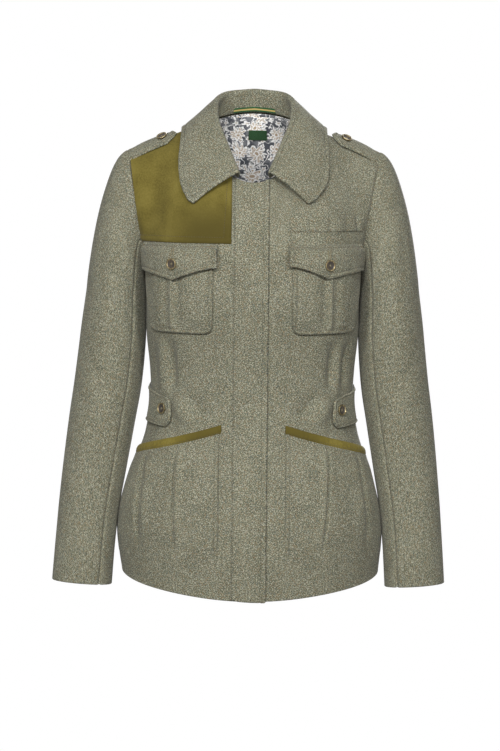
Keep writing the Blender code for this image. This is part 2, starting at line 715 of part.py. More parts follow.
def cartridge_loops():
    """A strip sewn down between its loops."""
    columns = LOOP_COUNT * 4 + 1
    across, down = grid(np.linspace(0, 1, columns), np.linspace(0, 1, 4))
    z = LOOPS_TOP + (LOOPS_FOOT - LOOPS_TOP) * down
    inner = turn_at(LEFT, FRONT, LOOPS_INNER, z)
    turn = inner + (LOOPS_OUTER - inner) * across
    rise = rise_of(LEFT, FRONT, turn, z)
    height = LOOP_HEIGHT * np.abs(np.sin(math.pi * across * LOOP_COUNT)) ** 0.8
    laid("cartridge_loops", LEFT, FRONT, turn, rise, LAY_GAP + height, LOOP_CLOTH, "tweed")


def waist_tab(side):
    """A tab from the side seam to a blunt point at the front."""
    across, down = grid(np.linspace(0, 1, 9), np.linspace(0, 1, 7))
    edge = np.abs(2 * down - 1)
    tip = TAB_TIP + TAB_POINT * edge**TAB_ROUND
    turn = TAB_SEAM + (tip - TAB_SEAM) * across
    upper_slant, lower_slant = TAB_SLANT
    z = TAB_TOP - TAB_HEIGHT * down - (upper_slant + (lower_slant - upper_slant) * down) * across
    rise = rise_of(side, FRONT, turn, z)
    laid(f"{NAMES[side]}_waist_tab", side, FRONT, turn, rise, TAB_LIFT, DOUBLE, "tweed")


def hip_mouth(across):
    """The height of a hip pocket's mouth."""
    first, last = HIP_MOUTH
    return first + (last - first) * across - HIP_SAG * np.sin(math.pi * across)


def hip_pocket(side):
    """A full patch pocket with two pleats folded outwards, below its binding."""
    columns = [0.0, 0.08, 0.16, 0.24, 0.32, 0.55, 0.62, 0.68, 0.88, 0.94, 1.0]
    for pleat in HIP_PLEATS:
        columns += [pleat - 2 * HIP_FOLD, pleat, pleat + HIP_FOLD, pleat + 2 * HIP_FOLD]
    across, down = grid(sorted(columns), (0, 0.05, 0.16, 0.30, 0.46, 0.62, 0.78, 0.91, 1))
    top = hip_mouth(across) - BINDING * 0.5 - BINDING_GAP
    z = top + (HIP_FOOT - top) * down
    inner = turn_at(side, FRONT, HIP_INNER, z)
    turn = inner + (HIP_OUTER - inner) * across
    full = np.sin(math.pi * down) ** 0.5
    height = HIP_BELLY * np.sin(math.pi * across) ** 0.5
    for pleat in HIP_PLEATS:
        away = (across - pleat) / HIP_FOLD
        height = height + HIP_PLEAT_DEPTH * (np.exp(-away**2) - np.exp(-((away - 1.5) / 0.6) ** 2))
    rise = rise_of(side, FRONT, turn, z)
    near = LAY_GAP + np.maximum(height * full, 0)
    laid(f"{NAMES[side]}_hip_pocket", side, FRONT, turn, rise, near, POCKET, "tweed")


def hip_binding(side):
    """Suede over the mouth's edge."""
    across, down = grid(np.linspace(0, 1, 14), np.linspace(0, 1, 4))
    z = hip_mouth(across) + BINDING * (0.5 - down)
    inner = turn_at(side, FRONT, BINDING_INNER, z)
    turn = inner + (BINDING_OUTER - inner) * across
    rise = rise_of(side, FRONT, turn, z)
    laid(f"{NAMES[side]}_hip_binding", side, FRONT, turn, rise, BINDING_LIFT, BINDING_THICK, "suede")


def off_ridge(side, turn, away):
    """Points and directions a distance over the shoulder's ridge, to the front where it is negative."""
    points, ways = [], []
    for face in (FRONT, BACK):
        top = torso(side, face, turn, 2.0)
        reach = lambda d: np.linalg.norm(torso(side, face, turn, 2 - d) - top, axis=-1)
        rise = 2 - solve(reach, 0.0, 0.9, np.abs(away))
        points.append(torso(side, face, turn, rise))
        n = normal(side, face, turn, np.minimum(rise, RIDGE))
        flat = unit(n * np.array([1.0, 0.0, 1.0]))
        blend = soft(np.abs(away) / RIDGE_SOFT)[..., None]
        ways.append(unit(flat * (1 - blend) + n * blend))
    front = (away < 0)[..., None]
    return np.where(front, points[0], points[1]), np.where(front, ways[0], ways[1])


def epaulette(side):
    across, along = grid(np.linspace(-1, 1, 9), np.linspace(0, 1, 9))
    point = EPAULETTE_POINT * np.abs(across) ** 1.5
    turn = EPAULETTE_TO + (EPAULETTE_FROM + point - EPAULETTE_TO) * along
    p, n = off_ridge(side, turn, across * EPAULETTE_HALF - EPAULETTE_AHEAD)
    near = EPAULETTE_LIFT[side]
    wall(f"{NAMES[side]}_epaulette", p + n * near, p + n * (near + DOUBLE), "tweed")


def button_mesh():
    """A turned button: a raised rim round a dished middle."""
    r, t, rim = BUTTON_RADIUS, BUTTON_THICK, BUTTON_RIM
    back = ((0, 0), (r * 0.82, 0), (r, t * 0.45), (r * 0.97, t * 0.85))
    front = ((r - rim * 0.5, t), (r - rim, t * 0.8), (r * 0.5, t * 0.55), (0, t * 0.5))
    shaped = bmesh.new()
    points = [shaped.verts.new((x, 0, z)) for x, z in back + front]
    edges = [shaped.edges.new(pair) for pair in zip(points, points[1:])]
    turn = {"axis": (0, 0, 1), "cent": (0, 0, 0), "angle": 2 * math.pi}
    bmesh.ops.spin(shaped, geom=points + edges, steps=BUTTON_SIDES, use_merge=True, **turn)
    bmesh.ops.remove_doubles(shaped, verts=shaped.verts[:], dist=1e-6)
    bmesh.ops.triangulate(shaped, faces=shaped.faces[:])
    bmesh.ops.recalc_face_normals(shaped, faces=shaped.faces[:])
    mesh = bpy.data.meshes.new("button")
    shaped.to_mesh(mesh)
    shaped.free()
    mesh.shade_smooth()
    mesh.set_sharp_from_angle(angle=math.radians(40))
    return mesh


def button(name, p, n, off):
    """A button turned to face along n, its back a little off the cloth."""
    thing = place(name, button_mesh(), "button")
    way = Vector(n)
    thing.rotation_euler = way.to_track_quat("Z", "Y").to_euler()
    thing.location = Vector(p) + way * off


def buttons():
    for side in (RIGHT, LEFT):
        turn = np.array(EPAULETTE_FROM + EPAULETTE_BUTTON)
        p, n = off_ridge(side, turn, np.array(-EPAULETTE_AHEAD))
        button(f"{NAMES[side]}_epaulette_button", p, n, EPAULETTE_LIFT[side] + DOUBLE + BUTTON_OFF)
        z = FLAP_TOP - FLAP_DEPTH + FLAP_BUTTON
        inner = turn_at(side, FRONT, FLAP_INNER, np.array([z]))[0]
        turn = np.array(inner + (FLAP_OUTER - inner) * FLAP_MIDDLE)
        rise = rise_of(side, FRONT, turn, z)
        button(
            f"{NAMES[side]}_chest_button", torso(side, FRONT, turn, rise), normal(side, FRONT, turn, rise),
            LAY_GAP + FLAP_LIFT + DOUBLE + BUTTON_OFF,
        )
        turn = np.array(TAB_TIP + TAB_BUTTON[0])
        z = TAB_BUTTON[1]
        rise = rise_of(side, FRONT, turn, z)
        button(
            f"{NAMES[side]}_tab_button", torso(side, FRONT, turn, rise), normal(side, FRONT, turn, rise),
            TAB_LIFT + DOUBLE + BUTTON_OFF,
        )


def back_lining():
    """The lining of the back, as far as it shows through the neck."""
    half = [t for t in BACK_TURNS if t <= LINING_TURN]
    turn, rise = grid([*(-t for t in half[:0:-1]), *half], [*HIGH_RISES[2:-1], RIDGE - 0.02])
    p = torso(LEFT, BACK, np.abs(turn), rise)
    n = normal(LEFT, BACK, np.abs(turn), rise)
    mirror = np.stack([np.where(turn < 0, -1.0, 1.0), 1 + 0 * turn, 1 + 0 * turn], -1)
    p, n = p * mirror, n * mirror
    near = TWEED + LINING_GAP
    wall("back_lining", p - n * (near + LINING), p - n * near, "lining")


def neck_label():
    x, z = grid(
        LABEL_CENTRE[0] + np.array([-0.5, -0.2, 0.2, 0.5]) * LABEL_SIZE[0],
        LABEL_CENTRE[1] + np.array([-0.5, 0.0, 0.5]) * LABEL_SIZE[1],
    )
    turn = turn_at(LEFT, BACK, np.abs(x), z)
    rise = rise_of(LEFT, BACK, turn, z)
    mirror = np.stack([np.where(x < 0, -1.0, 1.0), 1 + 0 * x, 1 + 0 * x], -1)
    p, n = torso(LEFT, BACK, turn, rise) * mirror, normal(LEFT, BACK, turn, rise) * mirror
    near = TWEED + LINING_GAP + LINING + LABEL_GAP
    wall("neck_label", p - n * (near + TAPE), p - n * near, "label")


def hanger_loop():
    """A tape across the foot of the collar's stand, inside."""
    ends = [s for s in COLLAR_STATIONS if s < LOOP_END]
    station, up = grid([*(-s for s in ends[:0:-1]), *ends], (0.04, 0.15, 0.26))
    half = collar_half(LEFT, np.abs(station[0]), (2, 2))
    mirror = np.stack([np.where(station[0] < 0, -1.0, 1.0), 1 + 0 * station[0], 1 + 0 * station[0]], -1)
    foot, head = half[0] * mirror, half[1] * mirror
    p = foot + (head - foot) * up[..., None]
    n = grid_normals(p)
    n = n * -np.sign(n[..., 1:2])
    near = DOUBLE / 2 + LOOP_GAP
    wall("hanger_loop", p + n * near, p + n * (near + TAPE), "tape")


for one_side in (RIGHT, LEFT):
    front_panel(one_side)
    sleeve(one_side)
    chest_pocket(one_side)
    chest_flap(one_side)
    waist_tab(one_side)
    hip_pocket(one_side)
    hip_binding(one_side)
    epaulette(one_side)
back_panel()
collar()
fly_band()
shoulder_patch()
cartridge_loops()
buttons()
back_lining()
neck_label()
hanger_loop()
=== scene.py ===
"""The looks of a women's tweed stalking jacket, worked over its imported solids.

Metres. +X is the wearer's left, -Y the front and +Z up. The body's cloth lies on a surface with two
coordinates: turn runs from the centre line (0) to the side seam (1), rise from the hem (0) past the
armpit (1) to the shoulder (2). A sleeve's are around, from its top (0) forwards, and along, from the
armhole (-1) past the upper arm (0) to the cuff (1).
"""

import json
import math

import bpy
import numpy as np
from mathutils import Matrix, Vector

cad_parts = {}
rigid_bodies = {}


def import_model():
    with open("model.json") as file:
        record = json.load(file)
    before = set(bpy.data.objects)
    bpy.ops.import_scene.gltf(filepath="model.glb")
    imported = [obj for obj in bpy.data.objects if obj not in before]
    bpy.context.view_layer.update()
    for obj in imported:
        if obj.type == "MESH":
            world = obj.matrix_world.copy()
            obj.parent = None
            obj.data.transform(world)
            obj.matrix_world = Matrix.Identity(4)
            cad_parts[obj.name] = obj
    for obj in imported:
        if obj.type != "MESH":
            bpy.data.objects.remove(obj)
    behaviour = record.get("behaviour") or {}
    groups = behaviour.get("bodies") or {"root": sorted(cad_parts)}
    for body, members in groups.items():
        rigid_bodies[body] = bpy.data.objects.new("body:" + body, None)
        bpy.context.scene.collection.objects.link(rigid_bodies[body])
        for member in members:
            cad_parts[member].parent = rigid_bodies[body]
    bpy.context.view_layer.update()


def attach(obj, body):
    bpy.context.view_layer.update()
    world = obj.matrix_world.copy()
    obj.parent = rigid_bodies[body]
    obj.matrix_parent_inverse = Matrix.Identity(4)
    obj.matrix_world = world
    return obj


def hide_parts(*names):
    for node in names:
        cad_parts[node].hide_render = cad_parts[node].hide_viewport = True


for old in list(bpy.data.objects):
    bpy.data.objects.remove(old, do_unlink=True)
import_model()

RIGHT, LEFT = -1, 1
FRONT, BACK = -1, 1
NAMES = {RIGHT: "right", LEFT: "left"}

# Cloth thicknesses and the room between layers
TWEED = 0.0022
POCKET = 0.0020
DOUBLE = 0.0028
SUEDE = 0.0014
LINING = 0.0010
TAPE = 0.0010
LAY_GAP = 0.0006
POCKET_GAP = 0.0009

# The body's sections
TORSO = (
    # height, half width, front depth, back depth, squareness
    (-0.720, 0.1850, 0.126, 0.112, 2.10),
    (-0.660, 0.1895, 0.130, 0.116, 2.10),
    (-0.622, 0.1925, 0.133, 0.119, 2.10),
    (-0.580, 0.1890, 0.132, 0.119, 2.10),
    (-0.530, 0.1780, 0.127, 0.113, 2.10),
    (-0.490, 0.1670, 0.121, 0.104, 2.12),
    (-0.450, 0.1550, 0.116, 0.095, 2.15),
    (-0.400, 0.1480, 0.111, 0.089, 2.20),
    (-0.360, 0.1500, 0.113, 0.091, 2.25),
    (-0.300, 0.1551, 0.124, 0.099, 2.45),
    (-0.250, 0.1549, 0.131, 0.107, 2.65),
    (-0.213, 0.1540, 0.132, 0.111, 2.70),
)
ARMPIT = TORSO[-1][0]
HEM_SIDE = -0.660
HEM_DIP = {FRONT: 0.024, BACK: 0.012}
HEM_POWER = 1.1
FOLDS = (
    # side, face, turn at top, turn at foot, top, foot, half width in turn, height
    (RIGHT, FRONT, 0.615, 0.635, -0.304, -0.395, 0.034, -0.0048),
    (RIGHT, FRONT, 0.705, 0.710, -0.306, -0.402, 0.045, 0.0040),
    (RIGHT, FRONT, 0.56, 0.52, -0.385, -0.438, 0.060, 0.0040),
    (LEFT, FRONT, 0.610, 0.620, -0.304, -0.393, 0.030, -0.0045),
    (LEFT, FRONT, 0.672, 0.678, -0.306, -0.398, 0.034, 0.0035),
    (LEFT, FRONT, 0.738, 0.738, -0.306, -0.398, 0.030, -0.0042),
    (LEFT, FRONT, 0.57, 0.54, -0.385, -0.438, 0.060, 0.0035),
    (RIGHT, FRONT, 1.00, 1.00, -0.470, -0.665, 0.220, 0.0040),
    (RIGHT, BACK, 1.00, 1.00, -0.470, -0.665, 0.220, 0.0040),
    (RIGHT, BACK, 0.62, 0.60, -0.290, -0.470, 0.060, -0.0045),
    (LEFT, BACK, 0.58, 0.61, -0.290, -0.470, 0.060, -0.0045),
)
# Creases pressed into the body's cloth, as it hangs
CREASES = (
    # side, face, from x, from z, to x, to z, half width, height
    (RIGHT, FRONT, 0.115, -0.304, 0.113, -0.392, 0.0055, -0.0040),
    (RIGHT, FRONT, 0.128, -0.306, 0.129, -0.388, 0.0060, 0.0022),
    (RIGHT, FRONT, 0.141, -0.306, 0.140, -0.390, 0.0060, -0.0028),
    (RIGHT, FRONT, 0.111, -0.402, 0.086, -0.437, 0.0095, 0.0042),
    (RIGHT, FRONT, 0.094, -0.398, 0.050, -0.432, 0.0100, -0.0034),
    (RIGHT, FRONT, 0.128, -0.440, 0.104, -0.452, 0.0060, -0.0024),
    (LEFT, FRONT, 0.113, -0.304, 0.112, -0.390, 0.0050, -0.0036),
    (LEFT, FRONT, 0.123, -0.306, 0.122, -0.388, 0.0045, 0.0020),
    (LEFT, FRONT, 0.134, -0.304, 0.132, -0.392, 0.0050, -0.0036),
    (LEFT, FRONT, 0.112, -0.400, 0.090, -0.437, 0.0095, 0.0042),
    (LEFT, FRONT, 0.096, -0.396, 0.055, -0.430, 0.0100, -0.0034),
    (LEFT, FRONT, 0.130, -0.440, 0.106, -0.452, 0.0060, -0.0022),
    (RIGHT, BACK, 0.040, -0.380, 0.110, -0.400, 0.0130, -0.0016),
    (LEFT, BACK, 0.030, -0.392, 0.112, -0.378, 0.0120, -0.0016),
    (RIGHT, BACK, 0.060, -0.420, 0.128, -0.432, 0.0110, 0.0014),
    (LEFT, BACK, 0.050, -0.350, 0.118, -0.340, 0.0120, 0.0014),
    (RIGHT, BACK, 0.085, -0.190, 0.130, -0.240, 0.0110, 0.0018),
    (LEFT, BACK, 0.090, -0.180, 0.132, -0.235, 0.0110, 0.0018),
)
CREASE_FADE = 0.3

# Neckline, shoulder and armhole
NECK_TURN = 0.36
NECK_HALF = 0.072
NECK_POINT = -0.007
NECKLINE = {
    # centre, its handle, the neck point's handle, neck point
    FRONT: (
        (0.0, -0.085, -0.0885), (0.045, -0.085, -0.0885),
        (0.058, -0.035, -0.039), (NECK_HALF, 0.0, NECK_POINT),
    ),
    BACK: (
        (0.0, 0.060, 0.0110), (0.035, 0.060, 0.0110),
        (0.061, 0.030, 0.0020), (NECK_HALF, 0.0, NECK_POINT),
    ),
}
SHOULDER_HALF = 0.182
SHOULDER_BACK = 0.004
SHOULDER_DROP = 0.0395
RISE_ANGLE = {FRONT: (55.0, 24.0, 10.0), BACK: (62.0, 11.0, 8.0)}
LOWER_HANDLE = 0.40
UPPER_HANDLE = (0.34, 0.25)
ARMHOLE_LOW = (0.004, 0.066, 0.030)
ARMHOLE_HIGH = (-0.003, 0.058, -0.026)
ARMHOLE_FROM = 0.60
RIDGE = 1.999
CENTRE = 0.0007
SIDE = 0.9994

# Sleeves
SLEEVE = (
    # along, centre x, centre y, centre z, half width, half depth
    (0.00, 0.1992, 0.006, -0.2500, 0.0435, 0.0660),
    (0.16, 0.2041, 0.006, -0.3180, 0.0479, 0.0620),
    (0.30, 0.2105, 0.003, -0.3800, 0.0489, 0.0580),
    (0.44, 0.2198, -0.002, -0.4390, 0.0482, 0.0540),
    (0.58, 0.2288, -0.008, -0.4986, 0.0468, 0.0500),
    (0.72, 0.2370, -0.015, -0.5580, 0.0447, 0.0470),
    (0.86, 0.2428, -0.022, -0.6170, 0.0438, 0.0445),
    (1.00, 0.2472, -0.028, -0.6760, 0.0440, 0.0420),
)
SLEEVE_IN = {RIGHT: 0.0, LEFT: 0.0055}
CAP_OUT = 0.032
CAP_LIFT = 0.006
CAP_FALL = 0.42
CAP_SIDES = 0.55
UNDERARM_OUT = 0.008
UNDERARM_WAY = (0.7, 0.0, -0.7)
UNDERARM_FACES = (-0.7, 0.0, -0.7)
SEAM_MEETS = 0.12
SEAM_TURNS = 0.22
SLEEVE_SEAMS = (-0.36, 0.36)
SLEEVE_GAP = 0.0009
SLEEVE_HEAD = 0.0030
HEAD_HALF = 0.085
HEAD_REACH = 0.45
ARMHOLE_GAP = 0.0008
SLEEVE_CREASES = (
    # side, around from, along from, around to, along to, half width round, height
    (RIGHT, 0.30, 0.16, 0.16, 0.34, 0.030, -0.0020),
    (RIGHT, 0.27, 0.30, 0.10, 0.42, 0.028, -0.0016),
    (RIGHT, 0.24, 0.22, 0.10, 0.38, 0.030, 0.0016),
    (RIGHT, 0.13, -0.55, 0.19, 0.10, 0.035, -0.0018),
    (RIGHT, 0.06, -0.30, 0.05, 0.60, 0.050, 0.0014),
    (RIGHT, -0.16, 0.14, -0.30, 0.30, 0.030, -0.0018),
    (RIGHT, -0.12, 0.30, -0.28, 0.44, 0.034, 0.0018),
    (LEFT, 0.29, 0.20, 0.15, 0.36, 0.030, -0.0018),
    (LEFT, 0.26, 0.34, 0.12, 0.44, 0.028, -0.0016),
    (LEFT, 0.25, 0.25, 0.09, 0.41, 0.032, 0.0015),
    (LEFT, 0.12, -0.50, 0.20, 0.06, 0.035, -0.0018),
    (LEFT, 0.05, -0.25, 0.04, 0.66, 0.050, 0.0014),
    (LEFT, -0.14, 0.18, -0.29, 0.32, 0.030, -0.0018),
    (LEFT, -0.13, 0.34, -0.27, 0.48, 0.034, 0.0018),
)
SLEEVE_FADE = 0.35

# Collar
COLLAR_NECK = 0.45
COLLAR_END = 0.20
NECK_END = COLLAR_END * NECK_TURN
COLLAR_BASE = 0.0021
COLLAR_FOLD = (
    # station, x, y, z
    (0.00, 0.0000, 0.057, 0.0420),
    (0.25, 0.0425, 0.040, 0.0365),
    (0.45, 0.0572, 0.004, 0.0215),
    (0.62, 0.0560, -0.026, 0.0015),
    (0.80, 0.0443, -0.055, -0.0295),
    (1.00, 0.0240, -0.093, -0.0770),
)
COLLAR_EDGE = (
    # station, turn, rise counted over the shoulder from the back (0) to the front (2)
    (0.00, 0.000, 0.915),
    (0.25, 0.270, 0.900),
    (0.55, 0.540, 1.000),
    (0.72, 0.531, 1.320),
    (0.86, 0.493, 1.504),
)
COLLAR_TIP = {RIGHT: (1.00, 0.405, 1.670), LEFT: (1.00, 0.365, 1.670)}
NECK_MEETS = 0.12
LEAF_LIFT = 0.0062
LEAF_BULGE = 0.004
BULGE_WAY = (0.8, 0.6)
FOLD_RADIUS = 0.0035
TIP_STATION = 0.050
TIP_LEAF = 0.090
STAND_ROWS = 14
FOLD_ROWS = 9
LEAF_FROM = STAND_ROWS + FOLD_ROWS + 2
EVEN_ROUNDS = 3

# Fly band and suede patch
FLY_FROM = -0.0275
FLY_TO = 0.0210
FLY_DROP = 0.0003
FLY_TOP = 0.024
FLY_HEM = (0.0012, 0.04)  # lift, reach from the sewn edge
FLY_FLUSH = (0.80, 0.006)  # share of the cloth's thickness, reach from the sewn edge
FLY_STAND = (0.0016, 0.014)  # height, reach from the free edge
FLY_GROOVE = (0.0008, 0.0055, 0.0014)  # depth, distance from the sewn edge, half width
FLY_SEAM_COLUMN = 3
PATCH_FOOT = -0.1742
PATCH_HEAD = RIDGE - 0.006
PATCH_INNER = 0.0310
PATCH_OUTER = 0.988

# Chest pockets and flaps
CHEST_INNER = 0.056
CHEST_OUTER = (0.86, 0.725)
CHEST_TOP = -0.1905
CHEST_FOOT = -0.302
CHEST_CORNER = 0.010
CHEST_CORNER_POWER = 6
CHEST_TURN = 0.165  # metres of cloth in a whole turn
CHEST_FULL = 0.0024
CHEST_SINK = (0.0010, 0.0008)  # of the under side and of the top
CHEST_CLEAR = 0.0005
PLEAT_INNER = {RIGHT: 0.112, LEFT: 0.1075}
PLEAT_OUTER = (0.138, 0.127)
PLEAT_END = 0.85
PLEAT_WAVES = (
    # height, turn from the pleat's ridge, half width in turn
    (0.0042, 0.0, 0.011),
    (-0.0020, -0.040, 0.020),
    (-0.0022, 0.046, 0.024),
)
PLEAT_LAP = (0.0030, -0.02, 0.10)  # height, where it starts from the ridge, its reach
PLEAT_DIP = (0.0016, 0.012)  # depth, turn past the lap's edge
PLEAT_EDGE = 0.010
FLAP_INNER = 0.0505
FLAP_OUTER = {RIGHT: 0.885, LEFT: 0.862}
FLAP_TOP = -0.176
FLAP_DEPTH = {RIGHT: (0.0320, 0.0390), LEFT: (0.0290, 0.0375)}
FLAP_POINT = {RIGHT: 0.0155, LEFT: 0.0145}
FLAP_MIDDLE = {RIGHT: 0.395, LEFT: 0.365}
FLAP_LIFT = 0.0080
FLAP_ROLL = 0.28
FLAP_CURL = 0.0010
FLAP_FLAT = (0.45, 0.7)  # share by which the outer end lies flatter, and from where across
FLAP_BUTTON = -0.2040
FLAP_CURVE = 1.8

# Cartridge loops
LOOPS_INNER = 0.050
LOOPS_OUTER = 0.90
LOOPS_TOP = -0.136
LOOPS_FOOT = -0.157
LOOP_COUNT = 5
LOOP_COLUMNS = 22
LOOP_HEIGHT = 0.0018
LOOP_ROUND = 0.7
LOOP_CLOTH = 0.0016

# Waist tabs
TAB_TIP = 0.610
TAB_TOP = -0.3835
TAB_HEIGHT = 0.053
TAB_SLANT = (0.0135, 0.0045)
TAB_POINT = 0.055
TAB_SEAT = 0.0003
TAB_LIFT = 0.0032
TAB_RISES = 0.5
TAB_THIN = (0.35, 0.35)  # share of the thickness at the seam, reach from it
TAB_ROUND = 4.0
TAB_SEAM = SIDE - 0.004
TAB_BUTTON = (0.072, -0.415)

# Hip pockets and their bindings
HIP_INNER = {RIGHT: 0.046, LEFT: 0.049}
HIP_OUTER = 0.985
HIP_MOUTH = (-0.4390, -0.4835)
HIP_SAG = 0.0005
HIP_FOOT = -0.631
HIP_BELLY = 0.0042
HIP_SWELLS = 0.16
HIP_FADES = 0.50
HIP_THIN = (0.85, 0.72)  # share by which the foot thins out, and from where down
HIP_ROLL = (0.5, -2.6, 2.4)  # beside a pleat: share of its depth, place and half width in half widths
HIP_CLOSE = 0.03
HIP_PLEATS = {
    # across at the mouth, across at the foot, half width, depth
    RIGHT: ((0.402, 0.355, 0.0130, 0.0070), (0.720, 0.630, 0.0240, 0.0056)),
    LEFT: ((0.411, 0.302, 0.0115, 0.0066), (0.730, 0.680, 0.0240, 0.0050)),
}
BINDING = 0.0115
BINDING_GAP = 0.0008
BINDING_LIFT = 0.0009
BINDING_THICK = 0.0026
BINDING_ROUND = (0.10, 0.82, 0.6)  # start and span of the round in half turns, power
BINDING_PUCKER = 0.0004
BINDING_WAVES = (95.0, 2.2, 31.0)  # waves, their swing and the swing's own waves
BINDING_TUCK = (0.0006, 0.055, 0.012)  # depth, place across, half width
BINDING_ROW = 14
BINDING_INNER = {RIGHT: 0.0435, LEFT: 0.0485}
BINDING_OUTER = 0.989

# Epaulettes and buttons
EPAULETTE_FROM = 0.590
EPAULETTE_TO = 0.9985
EPAULETTE_HALF = 0.018
EPAULETTE_AHEAD = 0.008
EPAULETTE_POINT = 0.07
EPAULETTE_ROUND = 1.5
EPAULETTE_SEAM = {RIGHT: 0.0013, LEFT: 0.0004}
EPAULETTE_END = {RIGHT: 0.0024, LEFT: 0.0030}
EPAULETTE_RISES = 0.6
EPAULETTE_THIN = (0.45, 0.35)  # share of the thickness at the seam, reach from it
EPAULETTE_BUTTON = 0.115
RIDGE_SOFT = 0.008
BUTTON_RADIUS = 0.0082
BUTTON_THICK = 0.0034
BUTTON_SEAT = 0.00036
BUTTON_SPIN = {"epaulette": 0.3, "chest": 0.9, "tab": 0.5}
BUTTON_PROFILE = (
    # distance from the middle in radii, height in thicknesses
    (0.00, 0.50), (0.30, 0.50), (0.55, 0.53), (0.68, 0.60), (0.73, 0.70), (0.77, 0.86),
    (0.84, 0.98), (0.90, 1.00), (0.95, 0.94), (0.985, 0.80), (1.00, 0.60), (0.985, 0.40),
    (0.93, 0.20), (0.82, 0.05), (0.60, 0.0), (0.0, 0.0),
)
BUTTON_FACE = 7  # the profile's points before this one face outwards
BUTTON_HOLES = 0.24
HOLE_RADIUS = 0.115
HOLE_DEPTH = 0.17
HOLE_EDGE = (0.6, 0.5)  # start and width of its slope in hole radii
SLIT_LENGTH = 0.0105
SLIT_ABOVE = 0.0095
SLIT_LIFT = 0.0003
SLIT_APART = 0.0011 / 0.17  # in turn
SLIT_BITE = 0.0007
SLIT_STITCHES = 15

# Inside the neck
LINING_TURN = 0.56
LINING_RISE = (1.42, RIDGE - 0.02)
LINING_GAP = 0.0012
LABEL_CENTRE = (0.0055, -0.0190)
LABEL_SIZE = (0.028, 0.014)
LABEL_GAP = 0.0018
LOOP_END = 0.155
LOOP_GAP = 0.0010
LOOP_STAND = (0.04, 0.26)
TAPE_HALF = 0.0032

# Sewing
STITCH = 0.0026
STITCH_STEP = 0.0037
STITCH_LIFT = 0.0002
THREAD = 0.00036
BUTTON_THREAD = 1.5  # thicker than the other threads
BEAD = ((0.0, 0.35), (0.14, 0.9), (0.5, 1.0), (0.86, 0.9), (1.0, 0.35))  # place along a stitch, swell
BEAD_SIDES = 5
BEAD_WIDE = 1.25
BEAD_DIP = 0.00035
EDGE_ROUND = 0.42
ROW_SINK = 0.0010
ROW_PUFF = 0.0007
ROW_GROOVE = 0.0013
ROW_MEETS = 0.0004
FLAT_ROW = (0.0007, 0.0004)
SUEDE_ROW = (0.0009, 0.0006)
# Rows of stitches: each one's distance from the edge it follows
COLLAR_ROWS = {"left": 0.0075, "right": 0.0075, "head": 0.0075}
FLY_ROWS = {"right": 0.0072}
PATCH_ROWS = {"left": 0.0105, "foot": 0.0085}
CHEST_ROWS = {"left": 0.0060, "head": 0.0060}
FLAP_ROWS = {"left": 0.0058, "right": 0.0058, "head": 0.0058, "foot": 0.0045}
TAB_ROWS = {"right": 0.0055, "foot": 0.0050, "head": 0.0050}
HIP_ROWS = {"left": 0.0062}
EPAULETTE_ROWS = {"left": 0.0050, "right": 0.0050, "head": 0.0050}
# Edges turned in: which ones, how deep and how far into the cloth
FRONT_TURNED = (("right", "head"), 0.0014, 0.0022)
BACK_TURNED = (("left", "right", "head"), 0.0019, 0.0022)
SLEEVE_TURNED = (("left", "right"), 0.0017, 0.0018)
CUFF_TURNED = (("foot",), 0.0004, 0.0014)
PATCH_TURNED = (("left", "foot"), 0.0006, 0.0012)
CHEST_TURNED = (("left", "right", "head"), 0.0010, 0.0013)
FLAP_TURNED = (("foot",), 0.0020, 0.0022)
LOOPS_TURNED = (("foot", "head"), 0.0006, 0.0015)
TAB_TURNED = (("right", "foot", "head"), 0.0012, 0.0014)
HIP_TURNED = (("left",), 0.0010, 0.0013)
EPAULETTE_TURNED = (("left", "right", "head"), 0.0012, 0.0014)
LABEL_TURNED = (("left", "right"), 0.0004, 0.0010)

# Colours of the finishes, from the bottom of the nap or grain to its top
WOOL_LIGHT = 0.70
WOOL = (
    (0.36, (0.030, 0.030, 0.020)),
    (0.46, (0.160, 0.158, 0.097)),
    (0.53, (0.255, 0.253, 0.166)),
    (0.66, (0.650, 0.642, 0.485)),
)
HIDE = ((0.30, (0.098, 0.077, 0.015)), (0.50, (0.160, 0.128, 0.026)), (0.70, (0.215, 0.175, 0.042)))
HORN = ((0.35, (0.012, 0.009, 0.006)), (0.55, (0.030, 0.021, 0.012)), (0.72, (0.085, 0.058, 0.030)))
BRASS = ((0.35, (0.070, 0.052, 0.024)), (0.55, (0.220, 0.178, 0.092)), (0.75, (0.420, 0.355, 0.210)))
LINING_INK = (0.030, 0.032, 0.038)


def named(side, piece):
    return f"{NAMES[side]}_{piece}"


def between(a, b, t):
    return a + (b - a) * t


def on_side(side, p):
    """A point or direction made for +X, turned over for the right side."""
    return p * np.array([side, 1.0, 1.0])


def through(rows, at):
    """A table's columns read anywhere along its first one, by a smooth curve that doesn't overshoot."""
    rows = np.array(rows, float)
    place, value = rows[:, 0], rows[:, 1:]
    step = np.diff(place)[:, None]
    slope = np.diff(value, axis=0) / step
    product = slope[1:] * slope[:-1]
    total = np.where(product > 0, slope[1:] + slope[:-1], 1.0)
    tangent = np.vstack([slope[:1], np.where(product > 0, 2 * product / total, 0.0), slope[-1:]])
    at = np.clip(np.asarray(at, float), place[0], place[-1])
    i = np.clip(np.searchsorted(place, at, side="right") - 1, 0, len(step) - 1)
    t = ((at - place[i]) / step[i, 0])[..., None]
    rest = 1 - t
    start = rest * rest * (value[i] * (1 + 2 * t) + tangent[i] * step[i] * t)
    finish = t * t * (value[i + 1] * (3 - 2 * t) - tangent[i + 1] * step[i] * rest)
    return start + finish


def soft(t):
    """A smooth step from 0 to 1."""
    t = np.clip(t, 0.0, 1.0)
    return t * t * (3 - 2 * t)


def hump(t):
    """A soft hump, 1 at 0 and gone by about 2."""
    return np.exp(-t * t)


def unit(v):
    return v / np.maximum(np.linalg.norm(v, axis=-1, keepdims=True), 1e-12)


